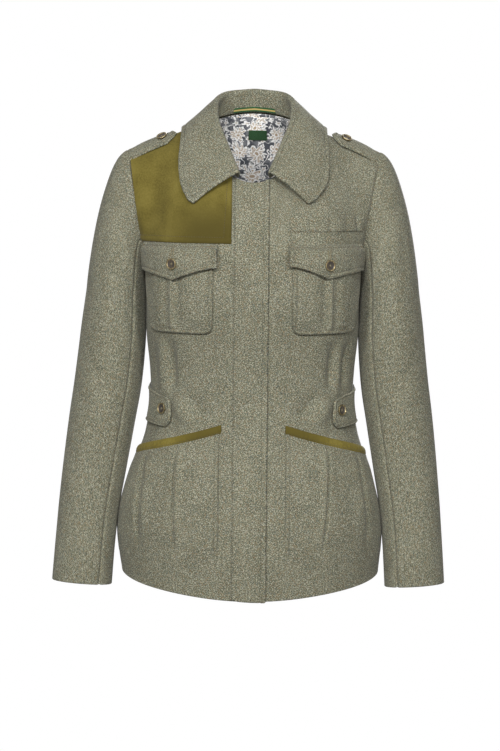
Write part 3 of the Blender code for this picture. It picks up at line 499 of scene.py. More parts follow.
def bezier(a, b, c, d, t):
    t = np.asarray(t)[..., None]
    s = 1 - t
    return a * s**3 + 3 * b * s * s * t + 3 * c * s * t * t + d * t**3


def solve(measure, low, high, target, rounds=24):
    """The place where a growing measure reaches its target, by halving."""
    low, high = np.broadcast_arrays(low, high, np.asarray(target, float))[:2]
    low, high = low.astype(float), high.astype(float)
    for _ in range(rounds):
        middle = (low + high) / 2
        under = measure(middle) < target
        low, high = np.where(under, middle, low), np.where(under, high, middle)
    return (low + high) / 2


def hem_height(face, turn):
    return HEM_SIDE - HEM_DIP[face] * np.cos(turn * math.pi / 2) ** HEM_POWER


def drape(side, face, turn, z):
    """How far the waist's folds stand out from the smooth body."""
    out = np.zeros(np.broadcast(turn, z).shape)
    for own_side, own_face, turn_top, turn_foot, top, foot, half, height in FOLDS:
        if (own_side, own_face) == (side, face):
            down = np.clip((top - z) / (top - foot), 0.0, 1.0)
            across = (turn - turn_top - (turn_foot - turn_top) * down) / half
            out = out + height * hump(across) * np.sin(math.pi * down)
    return out


def ring(side, face, turn, z):
    """The body's surface at a height below the armpit, for the half at +X."""
    width, front, back, square = np.moveaxis(through(TORSO, z), -1, 0)
    depth = front if face == FRONT else back
    angle = np.clip(turn, 0.0, 1.0) * math.pi / 2
    s, c = np.sin(angle), np.maximum(np.cos(angle), 0.0)
    radius = ((s / width) ** square + (c / depth) ** square) ** (-1 / square) + drape(side, face, turn, z)
    return np.stack([radius * s, face * radius * c, z + 0 * radius], -1)


def top_edge(face, turn):
    """Neckline from the centre to the neck point, then the shoulder seam."""
    neck = bezier(*(np.array(p) for p in NECKLINE[face]), np.clip(turn / NECK_TURN, 0.0, 1.0))
    along = np.clip((turn - NECK_TURN) / (1 - NECK_TURN), 0.0, 1.0)[..., None]
    return neck + along * np.array([SHOULDER_HALF - NECK_HALF, SHOULDER_BACK, -SHOULDER_DROP])


def upper(side, face, turn, climb):
    """From the armpit's ring up to the neckline, shoulder and armhole."""
    foot = ring(side, face, turn, ARMPIT + 0 * turn)
    head = top_edge(face, turn)
    lean = unit(foot - ring(side, face, turn, ARMPIT - 0.004 + 0 * turn))
    span = np.linalg.norm(head - foot, axis=-1, keepdims=True)
    along = np.clip((turn - NECK_TURN) / (1 - NECK_TURN), 0.0, 1.0)
    centre, neck, tip = RISE_ANGLE[face]
    inward = soft(turn / NECK_TURN)
    tilt = np.radians(centre + (neck - centre) * inward + (tip - neck) * along)
    arrive = np.stack([0 * tilt, -face * np.cos(tilt), np.sin(tilt)], -1)
    handle = UPPER_HANDLE[0] + (UPPER_HANDLE[1] - UPPER_HANDLE[0]) * inward
    low = lean * span * LOWER_HANDLE
    high = -arrive * span * handle[..., None]
    edge = soft((turn - ARMHOLE_FROM) / (1 - ARMHOLE_FROM))[..., None]
    mirror = np.array([1.0, face, 1.0])
    low = low + (np.array(ARMHOLE_LOW) * mirror - low) * edge
    high = high + (np.array(ARMHOLE_HIGH) * mirror - high) * edge
    return bezier(foot, foot + low, head + high, head, climb)


def torso(side, face, turn, rise):
    """A point of the body's outer surface."""
    turn, rise = np.broadcast_arrays(np.asarray(turn, float), np.asarray(rise, float))
    hem = hem_height(face, turn)
    z = hem + (ARMPIT - hem) * np.clip(rise, -0.2, 1.0)
    below = ring(side, face, turn, z)
    above = upper(side, face, turn, np.clip(rise - 1, 0.0, 1.0))
    p = np.where((rise > 1)[..., None], above, below)
    return on_side(side, p)


def normal(side, face, turn, rise, step=2e-4):
    """The outward direction at a point of the body."""
    turn, rise = np.broadcast_arrays(np.asarray(turn, float), np.asarray(rise, float))
    t0, t1 = np.clip(turn - step, 0.0, 1.0), np.clip(turn + step, 0.0, 1.0)
    r0, r1 = np.maximum(rise - step, 0.0), np.minimum(rise + step, 2.0)
    across = torso(side, face, t1, rise) - torso(side, face, t0, rise)
    up = torso(side, face, turn, r1) - torso(side, face, turn, r0)
    return unit(np.cross(across, up)) * -face * side


def rise_of(side, face, turn, z):
    """The rise of a height on the body."""
    hem = hem_height(face, turn)
    low = (z - hem) / (ARMPIT - hem)
    high = solve(lambda r: torso(side, face, turn, r)[..., 2], 1.0, 2.0, z + 0 * turn)
    return np.where(z > ARMPIT, high, low)


def turn_of(side, face, x, rise):
    """The turn at which the body lies a distance x from the centre plane."""
    return solve(lambda t: side * torso(side, face, t, rise)[..., 0], 0.0, 1.0, x + 0 * rise)


def turn_at(side, face, x, z):
    """The same at a height."""
    away = lambda t: side * torso(side, face, t, rise_of(side, face, t, z))[..., 0]
    return solve(away, 0.0, 1.0, x + 0 * z)


def edge_turn(side, x, z):
    """The turn of a line on the front that stays a distance x from the centre plane, at many heights."""
    heights = np.linspace(z.min(), z.max(), 40)
    return np.interp(z, heights, turn_at(side, FRONT, x, heights))


def crease(side, face, p):
    """The listed creases' height at points of the body."""
    out = np.zeros(p.shape[:-1])
    for own_side, own_face, x0, z0, x1, z1, half, height in CREASES:
        if (own_side, own_face) == (side, face):
            x, z = side * p[..., 0] - x0, p[..., 2] - z0
            run = math.hypot(x1 - x0, z1 - z0)
            ux, uz = (x1 - x0) / run, (z1 - z0) / run
            along = (x * ux + z * uz) / run
            away = (x * uz - z * ux) / half
            fade = soft(along / CREASE_FADE) * soft((1 - along) / CREASE_FADE)
            out = out + height * hump(away) * fade
    return out


def cloth(side, face, turn, rise):
    """Points of the body's cloth with its creases, and its outward directions."""
    p = torso(side, face, turn, rise)
    n = normal(side, face, turn, np.minimum(rise, RIDGE))
    return p + n * crease(side, face, p)[..., None], n


def on_front(side, across, z, inner, outer):
    """The front's cloth between a line at a distance from the centre plane and a turn."""
    turn = between(edge_turn(side, inner, z), outer, across)
    return cloth(side, FRONT, turn, rise_of(side, FRONT, turn, z))


def joined(right, left):
    """Points and directions of two halves, made into one grid along the centre line."""
    return [np.concatenate([r[:, :0:-1], l], axis=1) for r, l in zip(right, left)]


def grid(columns, rows):
    return np.meshgrid(np.asarray(columns, float), np.asarray(rows, float))


def spread(count, edge=0.012, ends=5):
    """Places from 0 to 1 that crowd together at both ends."""
    close = edge * np.linspace(0, 1, ends + 1)[:-1] ** 1.5
    return np.concatenate([close, np.linspace(edge, 1 - edge, count), 1 - close[::-1]])


def measure_out(p):
    """Distances along a grid of points: across from its first column and up from its first row."""
    u = np.linalg.norm(np.diff(p, axis=1), axis=-1).cumsum(axis=1)
    v = np.linalg.norm(np.diff(p, axis=0), axis=-1).cumsum(axis=0)
    return np.pad(u, ((0, 0), (1, 0))), np.pad(v, ((1, 0), (0, 0)))


def grid_normals(p):
    """Directions square to a grid of points."""
    down, across = np.gradient(p, axis=0), np.gradient(p, axis=1)
    return unit(np.cross(across, down))


def from_edges(p):
    """How far each point of a grid lies from each of its edges."""
    u, v = measure_out(p)
    return {"left": u, "right": u[:, -1:] - u, "foot": v, "head": v[-1:] - v}


def rolled_in(p, n, edges, depth, reach):
    """Cloth turned in at its seams and edges."""
    far = from_edges(p)
    out = sum(hump(far[edge] / reach) for edge in edges)
    return p - n * (depth * np.minimum(out, 1.0))[..., None]


def thinned(along, share, reach):
    """A share of the thickness at a seam, growing to all of it."""
    return between(share, 1.0, soft(along / reach))


THREADS = {}


def sew(kind, line, n, lift=STITCH_LIFT):
    """A row of stitches along a line, just off the cloth."""
    line = line + n * lift
    run = np.concatenate([[0], np.linalg.norm(np.diff(line, axis=0), axis=1).cumsum()])
    count = int(run[-1] / STITCH_STEP)
    if count < 2:
        return
    middle = (np.arange(count) + 0.5) * run[-1] / count
    read = lambda at, what: np.stack([np.interp(at, run, what[:, k]) for k in range(3)], -1)
    a, b = read(middle - STITCH / 2, line), read(middle + STITCH / 2, line)
    THREADS.setdefault(kind, []).append((a, b, unit(read(middle, n))))


def edge_lines(p, n, edges, kind, sink=ROW_SINK, puff=ROW_PUFF):
    """Cloth sewn down along some of its edges: a soft roll at the edge, a groove and its stitches."""
    far = from_edges(p)
    out = np.zeros(p.shape[:2])
    for edge, inset in edges.items():
        roll = np.sin(math.pi * np.clip(far[edge] / inset, 0, 1))
        out += puff * roll - sink * hump((far[edge] - inset) / ROW_GROOVE)
    sewn = p + n * out[..., None]
    for edge, inset in edges.items():
        layers = [far[edge], sewn, n, *(far[e] - edges[e] for e in edges if e != edge)]
        if edge in ("foot", "head"):
            layers = [layer.swapaxes(0, 1) for layer in layers]
        if edge in ("right", "head"):
            layers = [layer[:, ::-1] for layer in layers]
        d, q, m, *others = layers
        rows = []
        for r in range(len(d)):
            if all(np.interp(inset, d[r], o[r]) > -ROW_MEETS for o in others):
                rows.append([np.interp(inset, d[r], w[r, :, k]) for w in (q, m) for k in range(3)])
        if len(rows) > 2:
            rows = np.array(rows)
            sew(kind, rows[:, :3], rows[:, 3:])
    return sewn


def make_object(name, points, faces, looks, place=None, slots=None):
    """A smooth mesh. place gives each point's place on the cloth, and slots each face's look."""
    mesh = bpy.data.meshes.new(name)
    mesh.from_pydata(points.tolist(), [], faces)
    if place is not None:
        layer = mesh.uv_layers.new(name="cloth")
        corners = np.empty(len(mesh.loops), np.int32)
        mesh.loops.foreach_get("vertex_index", corners)
        layer.data.foreach_set("uv", place[corners].astype(np.float32).ravel())
    for look in looks:
        mesh.materials.append(look)
    if slots is not None:
        mesh.polygons.foreach_set("material_index", slots)
    mesh.shade_smooth()
    thing = bpy.data.objects.new(name, mesh)
    bpy.context.collection.objects.link(thing)
    return thing


def stand_in(thing, node):
    """A piece shown in place of its solid."""
    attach(thing, "root")
    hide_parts(node)


def shell(node, cover, inner, outer, looks, held, *rests_on):
    """One thin cloth piece between two grids of points, with rounded edges, in place of its solid."""
    rows, columns = outer.shape[:2]
    count = rows * columns
    number = np.arange(count).reshape(rows, columns)
    face = np.stack([number[:-1, :-1], number[:-1, 1:], number[1:, 1:], number[1:, :-1]], -1).reshape(-1, 4)
    around = np.concatenate([number[0, :-1], number[:-1, -1], number[-1, :0:-1], number[:0:-1, 0]])
    within = np.concatenate([number[1, :-1], number[:-1, -2], number[-2, :0:-1], number[:0:-1, 1]])
    a, b = outer.reshape(-1, 3), inner.reshape(-1, 3)
    thick = np.linalg.norm(a[around] - b[around], axis=1, keepdims=True)
    edge = (a[around] + b[around]) / 2 + unit(a[around] - a[within]) * thick * EDGE_ROUND
    middle = 2 * count + np.arange(len(around))
    ahead, middle_ahead = np.roll(around, -1), np.roll(middle, -1)
    rim_faces = [
        np.stack([ahead, around, middle, middle_ahead], -1),
        np.stack([middle_ahead, middle, around + count, ahead + count], -1),
    ]
    faces = np.concatenate([face, *rim_faces, face[:, ::-1] + count])
    points = np.concatenate([a, b, edge])
    q = points[faces]
    volume = np.sum(q[:, 0] * np.cross(q[:, 1], q[:, 2])) + np.sum(q[:, 0] * np.cross(q[:, 2], q[:, 3]))
    if volume < 0:
        faces = faces[:, ::-1]
    u, v = measure_out(outer)
    u = u - u[:, columns // 2][:, None]
    place = np.stack([u.ravel(), v.ravel()], -1)
    place = np.concatenate([place, place, place[around]])
    slots = np.zeros(len(faces), np.int32)
    slots[len(faces) - len(face):] = len(looks) - 1
    thing = make_object(f"{node}_{cover}", points, faces.tolist(), looks, place, slots)
    stand_in(thing, node)
    q = a[face]
    area = float(np.linalg.norm(np.cross(q[:, 2] - q[:, 0], q[:, 3] - q[:, 1]), axis=1).sum() / 2)
    flat = (float(np.ptp(u, axis=1).max()), float(v[-1].max()))
    if min(flat) > 0.01:
        area = min(area, flat[0] * flat[1])


class Tone:
    """A value on its way through a finish, so that sums can be written as sums."""

    def __init__(self, finish, socket):
        self.finish, self.socket = finish, socket

    def sum(self, how, *others):
        inputs = dict(enumerate((self, *others)))
        return self.finish.make("Math", {"operation": how}, inputs)

    def __add__(self, other):
        return self.sum("ADD", other)

    def __mul__(self, other):
        return self.sum("MULTIPLY", other)

    def __sub__(self, other):
        return self.sum("SUBTRACT", other)

    def __truediv__(self, other):
        return self.sum("DIVIDE", other)

    def __rsub__(self, other):
        return self.finish.make("Math", {"operation": "SUBTRACT"}, {0: other, 1: self})

    __radd__ = __add__
    __rmul__ = __mul__

    def step(self, low, high):
        """0 below low and 1 above high, softly between."""
        settings = {"interpolation_type": "SMOOTHSTEP"}
        return self.finish.make("MapRange", settings, {0: self, 1: low, 2: high, 3: 0.0, 4: 1.0})

    def wave(self, pitch):
        """A sine that repeats at each pitch."""
        return (self * (2 * math.pi / pitch)).sum("SINE")

    def band(self, middle, sharp):
        """1 at the middle value, falling to 0 on both sides of it."""
        return 1 - ((self - middle) * sharp).sum("ABSOLUTE").sum("MINIMUM", 1.0)


def lit(colour, light):
    return tuple(c * light for c in colour)


class Finish:
    """A material being mixed."""

    def __init__(self, name, **constants):
        self.material = bpy.data.materials.new(name)
        self.material.use_nodes = True
        self.tree = self.material.node_tree
        self.shader = self.tree.nodes["Principled BSDF"]
        for key, value in constants.items():
            self.shader.inputs[key.replace("_", " ")].default_value = value

    def make(self, kind, settings=None, inputs=None, out=0):
        node = self.tree.nodes.new("ShaderNode" + kind)
        for key, value in (settings or {}).items():
            if key == "stops":
                ramp = node.color_ramp.elements
                while len(ramp) < len(value):
                    ramp.new(0.5)
                for element, (place, colour) in zip(ramp, value):
                    element.position = place
                    element.color = (*colour, 1.0)
            else:
                setattr(node, key, value)
        for key, value in (inputs or {}).items():
            if isinstance(value, Tone):
                self.tree.links.new(value.socket, node.inputs[key])
            else:
                node.inputs[key].default_value = value
        return Tone(self, node.outputs[out])

    def place(self, x=1.0, y=1.0):
        """The place on the cloth in metres, stretched by x and y."""
        at = self.make("UVMap", {"uv_map": "cloth"})
        return self.make("VectorMath", {"operation": "MULTIPLY"}, {0: at, 1: (x, y, 1.0)})

    def noise(self, at, scale, detail=2.0, rough=0.6, out=0):
        inputs = {"Vector": at, "Scale": scale, "Detail": detail, "Roughness": rough}
        return self.make("TexNoise", {"noise_dimensions": "2D"}, inputs, out)

    def cells(self, at, scale, out, feature="F1"):
        inputs = {"Vector": at, "Scale": scale, "Randomness": 1.0}
        return self.make("TexVoronoi", {"voronoi_dimensions": "2D", "feature": feature}, inputs, out)

    def split(self, at):
        return [self.make("SeparateXYZ", None, {0: at}, k) for k in range(2)]

    def ramp(self, value, stops, light=1.0):
        stops = [(place, lit(colour, light)) for place, colour in stops]
        return self.make("ValToRGB", {"stops": stops}, {0: value})

    def mix(self, a, b, share):
        a, b = [c if isinstance(c, Tone) else (*c, 1.0) for c in (a, b)]
        return self.make("Mix", {"data_type": "RGBA"}, {0: share, 6: a, 7: b}, 2)

    def coats(self, colour, *coats):
        """A colour under coats of others, each with the share that it covers."""
        for coat, share in coats:
            colour = self.mix(colour, coat, share)
        return colour

    def set(self, **links):
        for key, value in links.items():
            self.tree.links.new(value.socket, self.shader.inputs[key.replace("_", " ")])

    def bump(self, height, depth, strength=1.0):
        inputs = {"Strength": strength, "Distance": depth, "Height": height}
        self.set(Normal=self.make("Bump", None, inputs))
        return self.material


def wool_tweed():
    """Mixed wool in a fine twill, grey-green with paler and darker fibres and a soft nap."""
    f = Finish("wool_tweed", Roughness=0.92, Specular_IOR_Level=0.25, Sheen_Weight=0.10, Sheen_Roughness=0.5)
    at = f.place()
    u, v = f.split(at)
    twill, cross = (u + v).wave(0.0021), (u - v).wave(0.0047)
    grain = f.noise(at, 1100.0, 1.0, 0.5)
    slub = f.noise(f.place(0.8, 1.1), 620.0, 1.0, 0.5)
    cloud = f.noise(at, 26.0, 2.0, 0.5)
    fleck = f.cells(at, 900.0, 1)
    red, green = [f.make("SeparateColor", None, {0: fleck}, k) for k in range(2)]
    depth = grain * 0.66 + slub * 0.34 + twill * 0.030 + cross * 0.015 + (cloud - 0.5) * 0.07
    wool = f.coats(
        f.ramp(depth, WOOL, WOOL_LIGHT),
        ((0.220, 0.140, 0.065), red.step(0.84, 0.88) * 0.55),
        ((0.085, 0.112, 0.110), green.step(0.82, 0.86) * 0.55),
        ((0.420, 0.410, 0.320), (1 - red.step(0.06, 0.10)) * 0.8),
    )
    f.set(Base_Color=wool, Roughness=grain * 0.12 + 0.84)
    return f.bump(depth + twill * 0.10, 0.0011, 0.55)


def olive_suede(name, light):
    """Brushed suede, its nap lying in soft lighter and darker patches, with painted shade towards its lower
    inner corner; light paints the whole copy lighter or darker.
    """
    f = Finish(name, Roughness=0.95, Specular_IOR_Level=0.18, Sheen_Weight=0.05, Sheen_Roughness=0.5)
    at = f.place()
    nap = f.noise(at, 30.0, 2.0, 0.5)
    hair = f.noise(f.place(1.0, 0.45), 900.0, 3.0, 0.7)
    pore = f.noise(at, 320.0, 2.0, 0.6)
    hide = f.ramp(nap * 0.40 + hair * 0.32 + pore * 0.28, HIDE, light)
    u, v = f.split(at)
    # Painted shade: the hide darkens towards the lower inner corner, where the collar's tip shades the
    # patch; on the binding, whose rows are short, it darkens the inner end.
    painted_corner_shade = (1 - u.step(-0.055, 0.010)) * (1 - v.step(0.015, 0.085))
    hide = f.mix(hide, lit(HIDE[0][1], 0.80 * light), painted_corner_shade * 0.95)
    f.set(Base_Color=hide, Roughness=hair * 0.1 + 0.86)
    return f.bump(hair * 0.6 + pore * 0.4, 0.0006, 0.5)


def flower(f, at, scale, petals, size, turn):
    """Rosettes scattered over the cloth: how near each point is to a petal, and to its heart."""
    place = f.make("VectorMath", {"operation": "SCALE"}, {0: at, "Scale": scale})
    inputs = {"Vector": place, "Scale": 1.0, "Randomness": 0.55}
    heart = f.make("TexVoronoi", {"voronoi_dimensions": "2D"}, inputs, 2)
    x, y = f.split(f.make("VectorMath", {"operation": "SUBTRACT"}, {0: place, 1: heart}))
    away = (x * x + y * y).sum("SQRT")
    angle = y.sum("ARCTAN2", x)
    reach = ((angle * petals + away * turn).sum("COSINE") * 0.20 + 0.80) * size
    return reach - away, away, angle


def printed_lining():
    """Satin lining printed with pale blossoms, leaves and scrolls on grey."""
    f = Finish("printed_lining", Roughness=0.5, Specular_IOR_Level=0.4, Sheen_Weight=0.1)
    at = f.place()
    wander = f.noise(at, 62.0, 1.0, 0.4, 1)
    inputs = {0: wander, 1: (0.0115, 0.0115, 0.0), 2: at}
    bent = f.make("VectorMath", {"operation": "MULTIPLY_ADD"}, inputs)
    petal, away, angle = flower(f, bent, 31.0, 9.0, 0.45, 3.0)
    leaf = flower(f, bent, 68.0, 5.0, 0.38, 6.0)[0]
    scroll = f.noise(bent, 80.0, 1.0, 0.4).band(0.5, 19.0)
    broken = f.noise(at, 210.0, 1.0, 0.5).step(0.40, 0.52)
    shade = f.noise(at, 85.0, 2.0, 0.5).step(0.42, 0.58)
    rib = ((angle * 9.0 + 1.6).sum("SINE") * 0.5 + 0.5) * petal.step(0.13, 0.20) * away.step(0.12, 0.16)
    cloth = f.coats(
        f.mix((0.075, 0.082, 0.098), (0.215, 0.222, 0.236), shade),
        ((0.920, 0.915, 0.900), scroll.step(0.35, 0.60)),
        (LINING_INK, leaf.step(-0.09, -0.06) * 0.6),
        ((0.960, 0.955, 0.940), leaf.step(-0.02, 0.01)),
        ((0.400, 0.280, 0.150), leaf.step(0.16, 0.22) * broken * 0.8),
        (LINING_INK, petal.step(-0.050, -0.035) * 0.7),
        ((0.970, 0.965, 0.950), petal.step(-0.012, 0.008)),
        ((0.440, 0.310, 0.175), petal.band(0.12, 16.0).step(0.20, 0.60) * broken * 0.85),
        ((0.440, 0.320, 0.190), rib.step(0.40, 0.80) * 0.8),
        ((0.400, 0.270, 0.140), (1 - away.step(0.07, 0.10)) * 0.85),
    )
    f.set(Base_Color=cloth)
    u, v = f.split(at)
    weave = u.wave(0.0006) * 0.5 + v.wave(0.0009) * 0.5
    return f.bump(weave + f.noise(at, 90.0) * 2.0, 0.0002, 0.4)


def woven_label():
    """A plain damask label in dark green."""
    f = Finish("woven_label", Roughness=0.6, Specular_IOR_Level=0.35, Sheen_Weight=0.15)
    u, v = f.split(f.place())
    weave = u.wave(0.0007) * v.wave(0.0005)
    f.set(Base_Color=f.mix((0.006, 0.036, 0.008), (0.014, 0.082, 0.018), weave.step(-0.6, 0.8)))
    return f.bump(weave, 0.0002, 0.5)


def striped_tape():
    """Ribbed tape in dark green with a tan stripe down its middle."""
    f = Finish("striped_tape", Roughness=0.7, Specular_IOR_Level=0.3, Sheen_Weight=0.15)
    u, v = f.split(f.place())
    rib = u.wave(0.0011)
    middle = 1 - ((v - TAPE_HALF) / (0.36 * TAPE_HALF)).sum("ABSOLUTE").step(0.85, 1.15)
    tape = f.mix((0.012, 0.078, 0.024), (0.520, 0.390, 0.130), middle)
    f.set(Base_Color=f.mix(tape, (0.004, 0.012, 0.004), rib.step(0.2, 1.0) * 0.35))
    return f.bump(rib, 0.0002, 0.5)


def sewing_thread(name, colour):
    """Twisted thread."""
    f = Finish(name, Roughness=0.75, Specular_IOR_Level=0.3, Sheen_Weight=0.2)
    twist = f.noise(f.make("TexCoord", None, None, 3), 2600.0, 2.0, 0.6)
    f.set(Base_Color=f.mix(lit(colour, 0.6), lit(colour, 1.3), twist))
    return f.bump(twist, 0.0002, 0.5)


def horn_and_brass():
    """A streaked horn middle in an aged brass rim, told apart by the distance from the middle."""
    f = Finish("horn_and_brass", Roughness=0.35, Specular_IOR_Level=0.5)
    out = f.split(f.place())[0]
    body = f.make("TexCoord", None, None, 3)
    drawn_out = f.make("VectorMath", {"operation": "MULTIPLY"}, {0: body, 1: (300.0, 300.0, 900.0)})
    streak = f.noise(drawn_out, 1.0, 3.0)
    wear = f.noise(body, 700.0, 3.0, 0.65)
    rim = out.step(0.70, 0.76) * (1 - out.step(0.985, 1.0) * 0.5)
    colour = f.mix(f.ramp(streak, HORN), f.ramp(wear, BRASS), rim)
    f.set(Base_Color=colour, Metallic=rim * 0.9, Roughness=wear * 0.3 + 0.22)
    return f.bump(wear + streak * 0.4, 0.00025, 0.35)


TWEED_LOOK = wool_tweed()
LINING_LOOK = printed_lining()
PLAIN = (TWEED_LOOK,)
LINED = (TWEED_LOOK, LINING_LOOK)
# One suede in two copies lit differently, as painted light: the patch's copy painted darker, the binding's
# lighter.
SUEDE_LOOK = olive_suede("olive_suede", 0.92)
BINDING_LOOK = olive_suede("binding_suede", 1.20)
BUTTON_LOOK = horn_and_brass()
THREAD_LOOKS = {
    "tweed": sewing_thread("tweed_thread", (0.075, 0.072, 0.047)),
    "suede": sewing_thread("suede_thread", (0.070, 0.055, 0.016)),
    "button": sewing_thread("button_thread", (0.200, 0.170, 0.095)),
}
PANEL_RISES = np.concatenate([
    spread(106, 0.02)[:-5],
    1 + np.linspace(0, 1, 62)[1:-4],
    [1.95, 1.968, 1.982, 1.992, RIDGE],
])


def front_panel(side):
    """A front, from the centre line to the side seam and armhole."""
    turn, rise = grid(between(CENTRE, SIDE, spread(78, 0.02)), PANEL_RISES)
    p, n = cloth(side, FRONT, turn, rise)
    outer = rolled_in(p, n, *FRONT_TURNED)
    shell(named(side, "front"), "cloth", p - n * TWEED, outer, LINED, "hung", "collar")


def back_panel():
    """The back, in one piece."""
    turn, rise = grid(SIDE * spread(54, 0.02), PANEL_RISES)
    p, n = joined(*(cloth(side, BACK, turn, rise) for side in (RIGHT, LEFT)))
    outer = rolled_in(p, n, *BACK_TURNED)
    shell("back", "cloth", p - n * TWEED, outer, LINED, "hung", "collar")


def armhole(side, around):
    """The armhole's edge, the way out of it along the cloth, and the cloth's outward direction."""
    around = np.asarray(around, float)
    turned = np.mod(around + 0.5, 1.0) - 0.5
    rise = 1 + np.minimum(1 - 2 * np.abs(turned), RIDGE - 1)
    edges = []
    for face in (FRONT, BACK):
        p = torso(side, face, 1.0, rise)
        back = np.maximum(rise - 0.01, 1.0)
        ahead = np.minimum(rise + 0.01, 2.0)
        run = unit(torso(side, face, 1.0, ahead) - torso(side, face, 1.0, back))
        out = p - torso(side, face, 0.985, rise)
        out = unit(out - run * np.sum(out * run, -1, keepdims=True))
        edges.append((p, out, normal(side, face, 0.9995, rise)))
    is_front = (turned > 0)[..., None]
    ends = (np.abs(turned) < 1e-6)[..., None] | (np.abs(turned) > 0.5 - 1e-6)[..., None]
    middle = [(f + b) / 2 for f, b in zip(*edges)]
    p, out, n = [np.where(ends, m, np.where(is_front, f, b)) for m, f, b in zip(middle, *edges)]
    clear = soft(np.minimum(np.abs(turned), 0.5 - np.abs(turned)) / SEAM_MEETS)
    out = out * np.stack([1 + 0 * clear, clear, 1 + 0 * clear], -1)
    return p, unit(out), unit(n)


def sleeve_ring(side, around, along):
    """A point of the sleeve below its cap, and the sleeve's way down."""
    at = through(SLEEVE, along)
    centre, half, deep = at[..., :3], at[..., 3:4], at[..., 4:5]
    above, below = [through(SLEEVE, np.clip(along + by, 0, 1))[..., :3] for by in (-0.01, 0.01)]
    down = unit(below - above)
    outward = np.array([1.0, 0.0, 0.0])
    outward = unit(outward - down * np.sum(outward * down, -1, keepdims=True))
    forward = np.cross(outward, down)
    forward = forward * -np.sign(forward[..., 1:2])
    angle = np.asarray(around)[..., None] * 2 * math.pi
    p = centre + outward * half * np.cos(angle) + forward * deep * np.sin(angle)
    p[..., 0] -= SLEEVE_IN[side] * np.clip(along, 0, 1)
    return on_side(side, p), on_side(side, down)


def under_over(around):
    """How far a place round the sleeve lies under the arm, and how far on top."""
    away = np.abs(np.mod(around + 0.5, 1.0) - 0.5)
    return soft(4 * away - 1)[..., None], 1 - soft(4 * away)[..., None]


def sleeve_point(side, around, along):
    """A point of a sleeve: along runs from the armhole (-1) to the upper arm (0) and the cuff (1)."""
    around, along = np.broadcast_arrays(np.asarray(around, float), np.asarray(along, float))
    edge, out, n = armhole(side, around)
    start = edge + out * ARMHOLE_GAP
    finish, down = sleeve_ring(side, around, 0 * around)
    under, over = under_over(around)
    leave = (out * CAP_OUT * (CAP_SIDES + (1 - CAP_SIDES) * over) + n * CAP_LIFT * (1 - over)) * (1 - under)
    leave = leave + on_side(side, np.array(UNDERARM_WAY)) * UNDERARM_OUT * under
    span = np.linalg.norm(finish - start, axis=-1, keepdims=True)
    cap = bezier(start, start + leave, finish - down * span * CAP_FALL, finish, np.clip(along + 1, 0, 1))
    arm = sleeve_ring(side, around, np.clip(along, 0, 1))[0]
    return np.where((along < 0)[..., None], cap, arm)


def sleeve_normal(side, around, along, step=1e-3):
    across = sleeve_point(side, around + step, along) - sleeve_point(side, around - step, along)
    low, high = np.clip(along - step, -1, 1), np.clip(along + step, -1, 1)
    down = sleeve_point(side, around, high) - sleeve_point(side, around, low)
    n = unit(np.cross(across, down)) * side
    under = under_over(around)[0]
    below = on_side(side, np.array(UNDERARM_FACES))
    seam = unit(armhole(side, around)[2] * (1 - under) + below * under)
    turned = soft((along + 1) / SEAM_TURNS)[..., None]
    return unit(seam * (1 - turned) + n * turned)


def sleeve_crease(side, around, along):
    """The creases of a sleeve that hangs a little bent."""
    out = np.zeros(around.shape)
    for own, a0, l0, a1, l1, half, height in SLEEVE_CREASES:
        if own == side:
            t = (along - l0) / (l1 - l0)
            away = (around - a0 - (a1 - a0) * t) / half
            fade = soft(t / SLEEVE_FADE) * soft((1 - t) / SLEEVE_FADE)
            out = out + height * hump(away) * fade
    return out


def sleeve(side):
    """Upper and under sleeve, seamed down the back and down the front near the body."""
    back_seam, front_seam = SLEEVE_SEAMS
    spans = {"upper": (back_seam, front_seam, 74), "under": (front_seam, 1 + back_seam, 30)}
    rows = np.concatenate([-1 + spread(50, 0.03)[:-6], spread(98, 0.01, 4)])
    for part, (first, last, count) in spans.items():
        columns = between(first + SLEEVE_GAP, last - SLEEVE_GAP, spread(count, 0.03))
        around, along = grid(columns, rows)
        p, n = sleeve_point(side, around, along), sleeve_normal(side, around, along)
        head = SLEEVE_HEAD * hump(around / HEAD_HALF) * (1 - soft((along + 1) / HEAD_REACH))
        p = p + n * (sleeve_crease(side, around, along) + head)[..., None]
        outer = rolled_in(rolled_in(p, n, *SLEEVE_TURNED), n, *CUFF_TURNED)
        node = named(side, f"{part}_sleeve")
        shell(node, "cloth", p - n * TWEED, outer, LINED, "hung", named(side, "front"), "back")


def neck_seam(station):
    """The collar's seam for the half at +X, and the way off the panel along the cloth."""
    back = station < COLLAR_NECK
    turn_back = NECK_TURN * station / COLLAR_NECK
    turn_front = NECK_TURN + (NECK_END - NECK_TURN) * (station - COLLAR_NECK) / (1 - COLLAR_NECK)
    p, off = [], []
    for face, turn in ((BACK, turn_back), (FRONT, turn_front)):
        turn = np.clip(turn, 0.0, NECK_TURN)
        edge = torso(LEFT, face, turn, 2.0)
        ahead, before = np.minimum(turn + 0.01, NECK_TURN), np.maximum(turn - 0.01, 0.0)
        run = torso(LEFT, face, ahead, 2.0) - torso(LEFT, face, before, 2.0)
        p.append(edge)
        off.append(unit(np.cross(normal(LEFT, face, turn, RIDGE), run)) * -face)
    across = soft((station - COLLAR_NECK + NECK_MEETS) / (2 * NECK_MEETS))[..., None]
    way = unit(off[0] * (1 - across) + off[1] * across)
    return np.where(back[..., None], p[0], p[1]), way


def leaf_edge(side, station):
    """The leaf's edge for the half at +X, lying off the shoulder."""
    turn, over = np.moveaxis(through((*COLLAR_EDGE, COLLAR_TIP[side]), station), -1, 0)
    sheets = []
    for face, rise in ((BACK, np.clip(1 + over, 1, 2)), (FRONT, np.clip(3 - over, 1, 2))):
        away = normal(LEFT, face, turn, np.minimum(rise, RIDGE))
        sheets.append(torso(LEFT, face, turn, rise) + LEAF_LIFT * away)
    behind, ahead = sheets
    return np.where((over < 1)[..., None], behind, ahead)


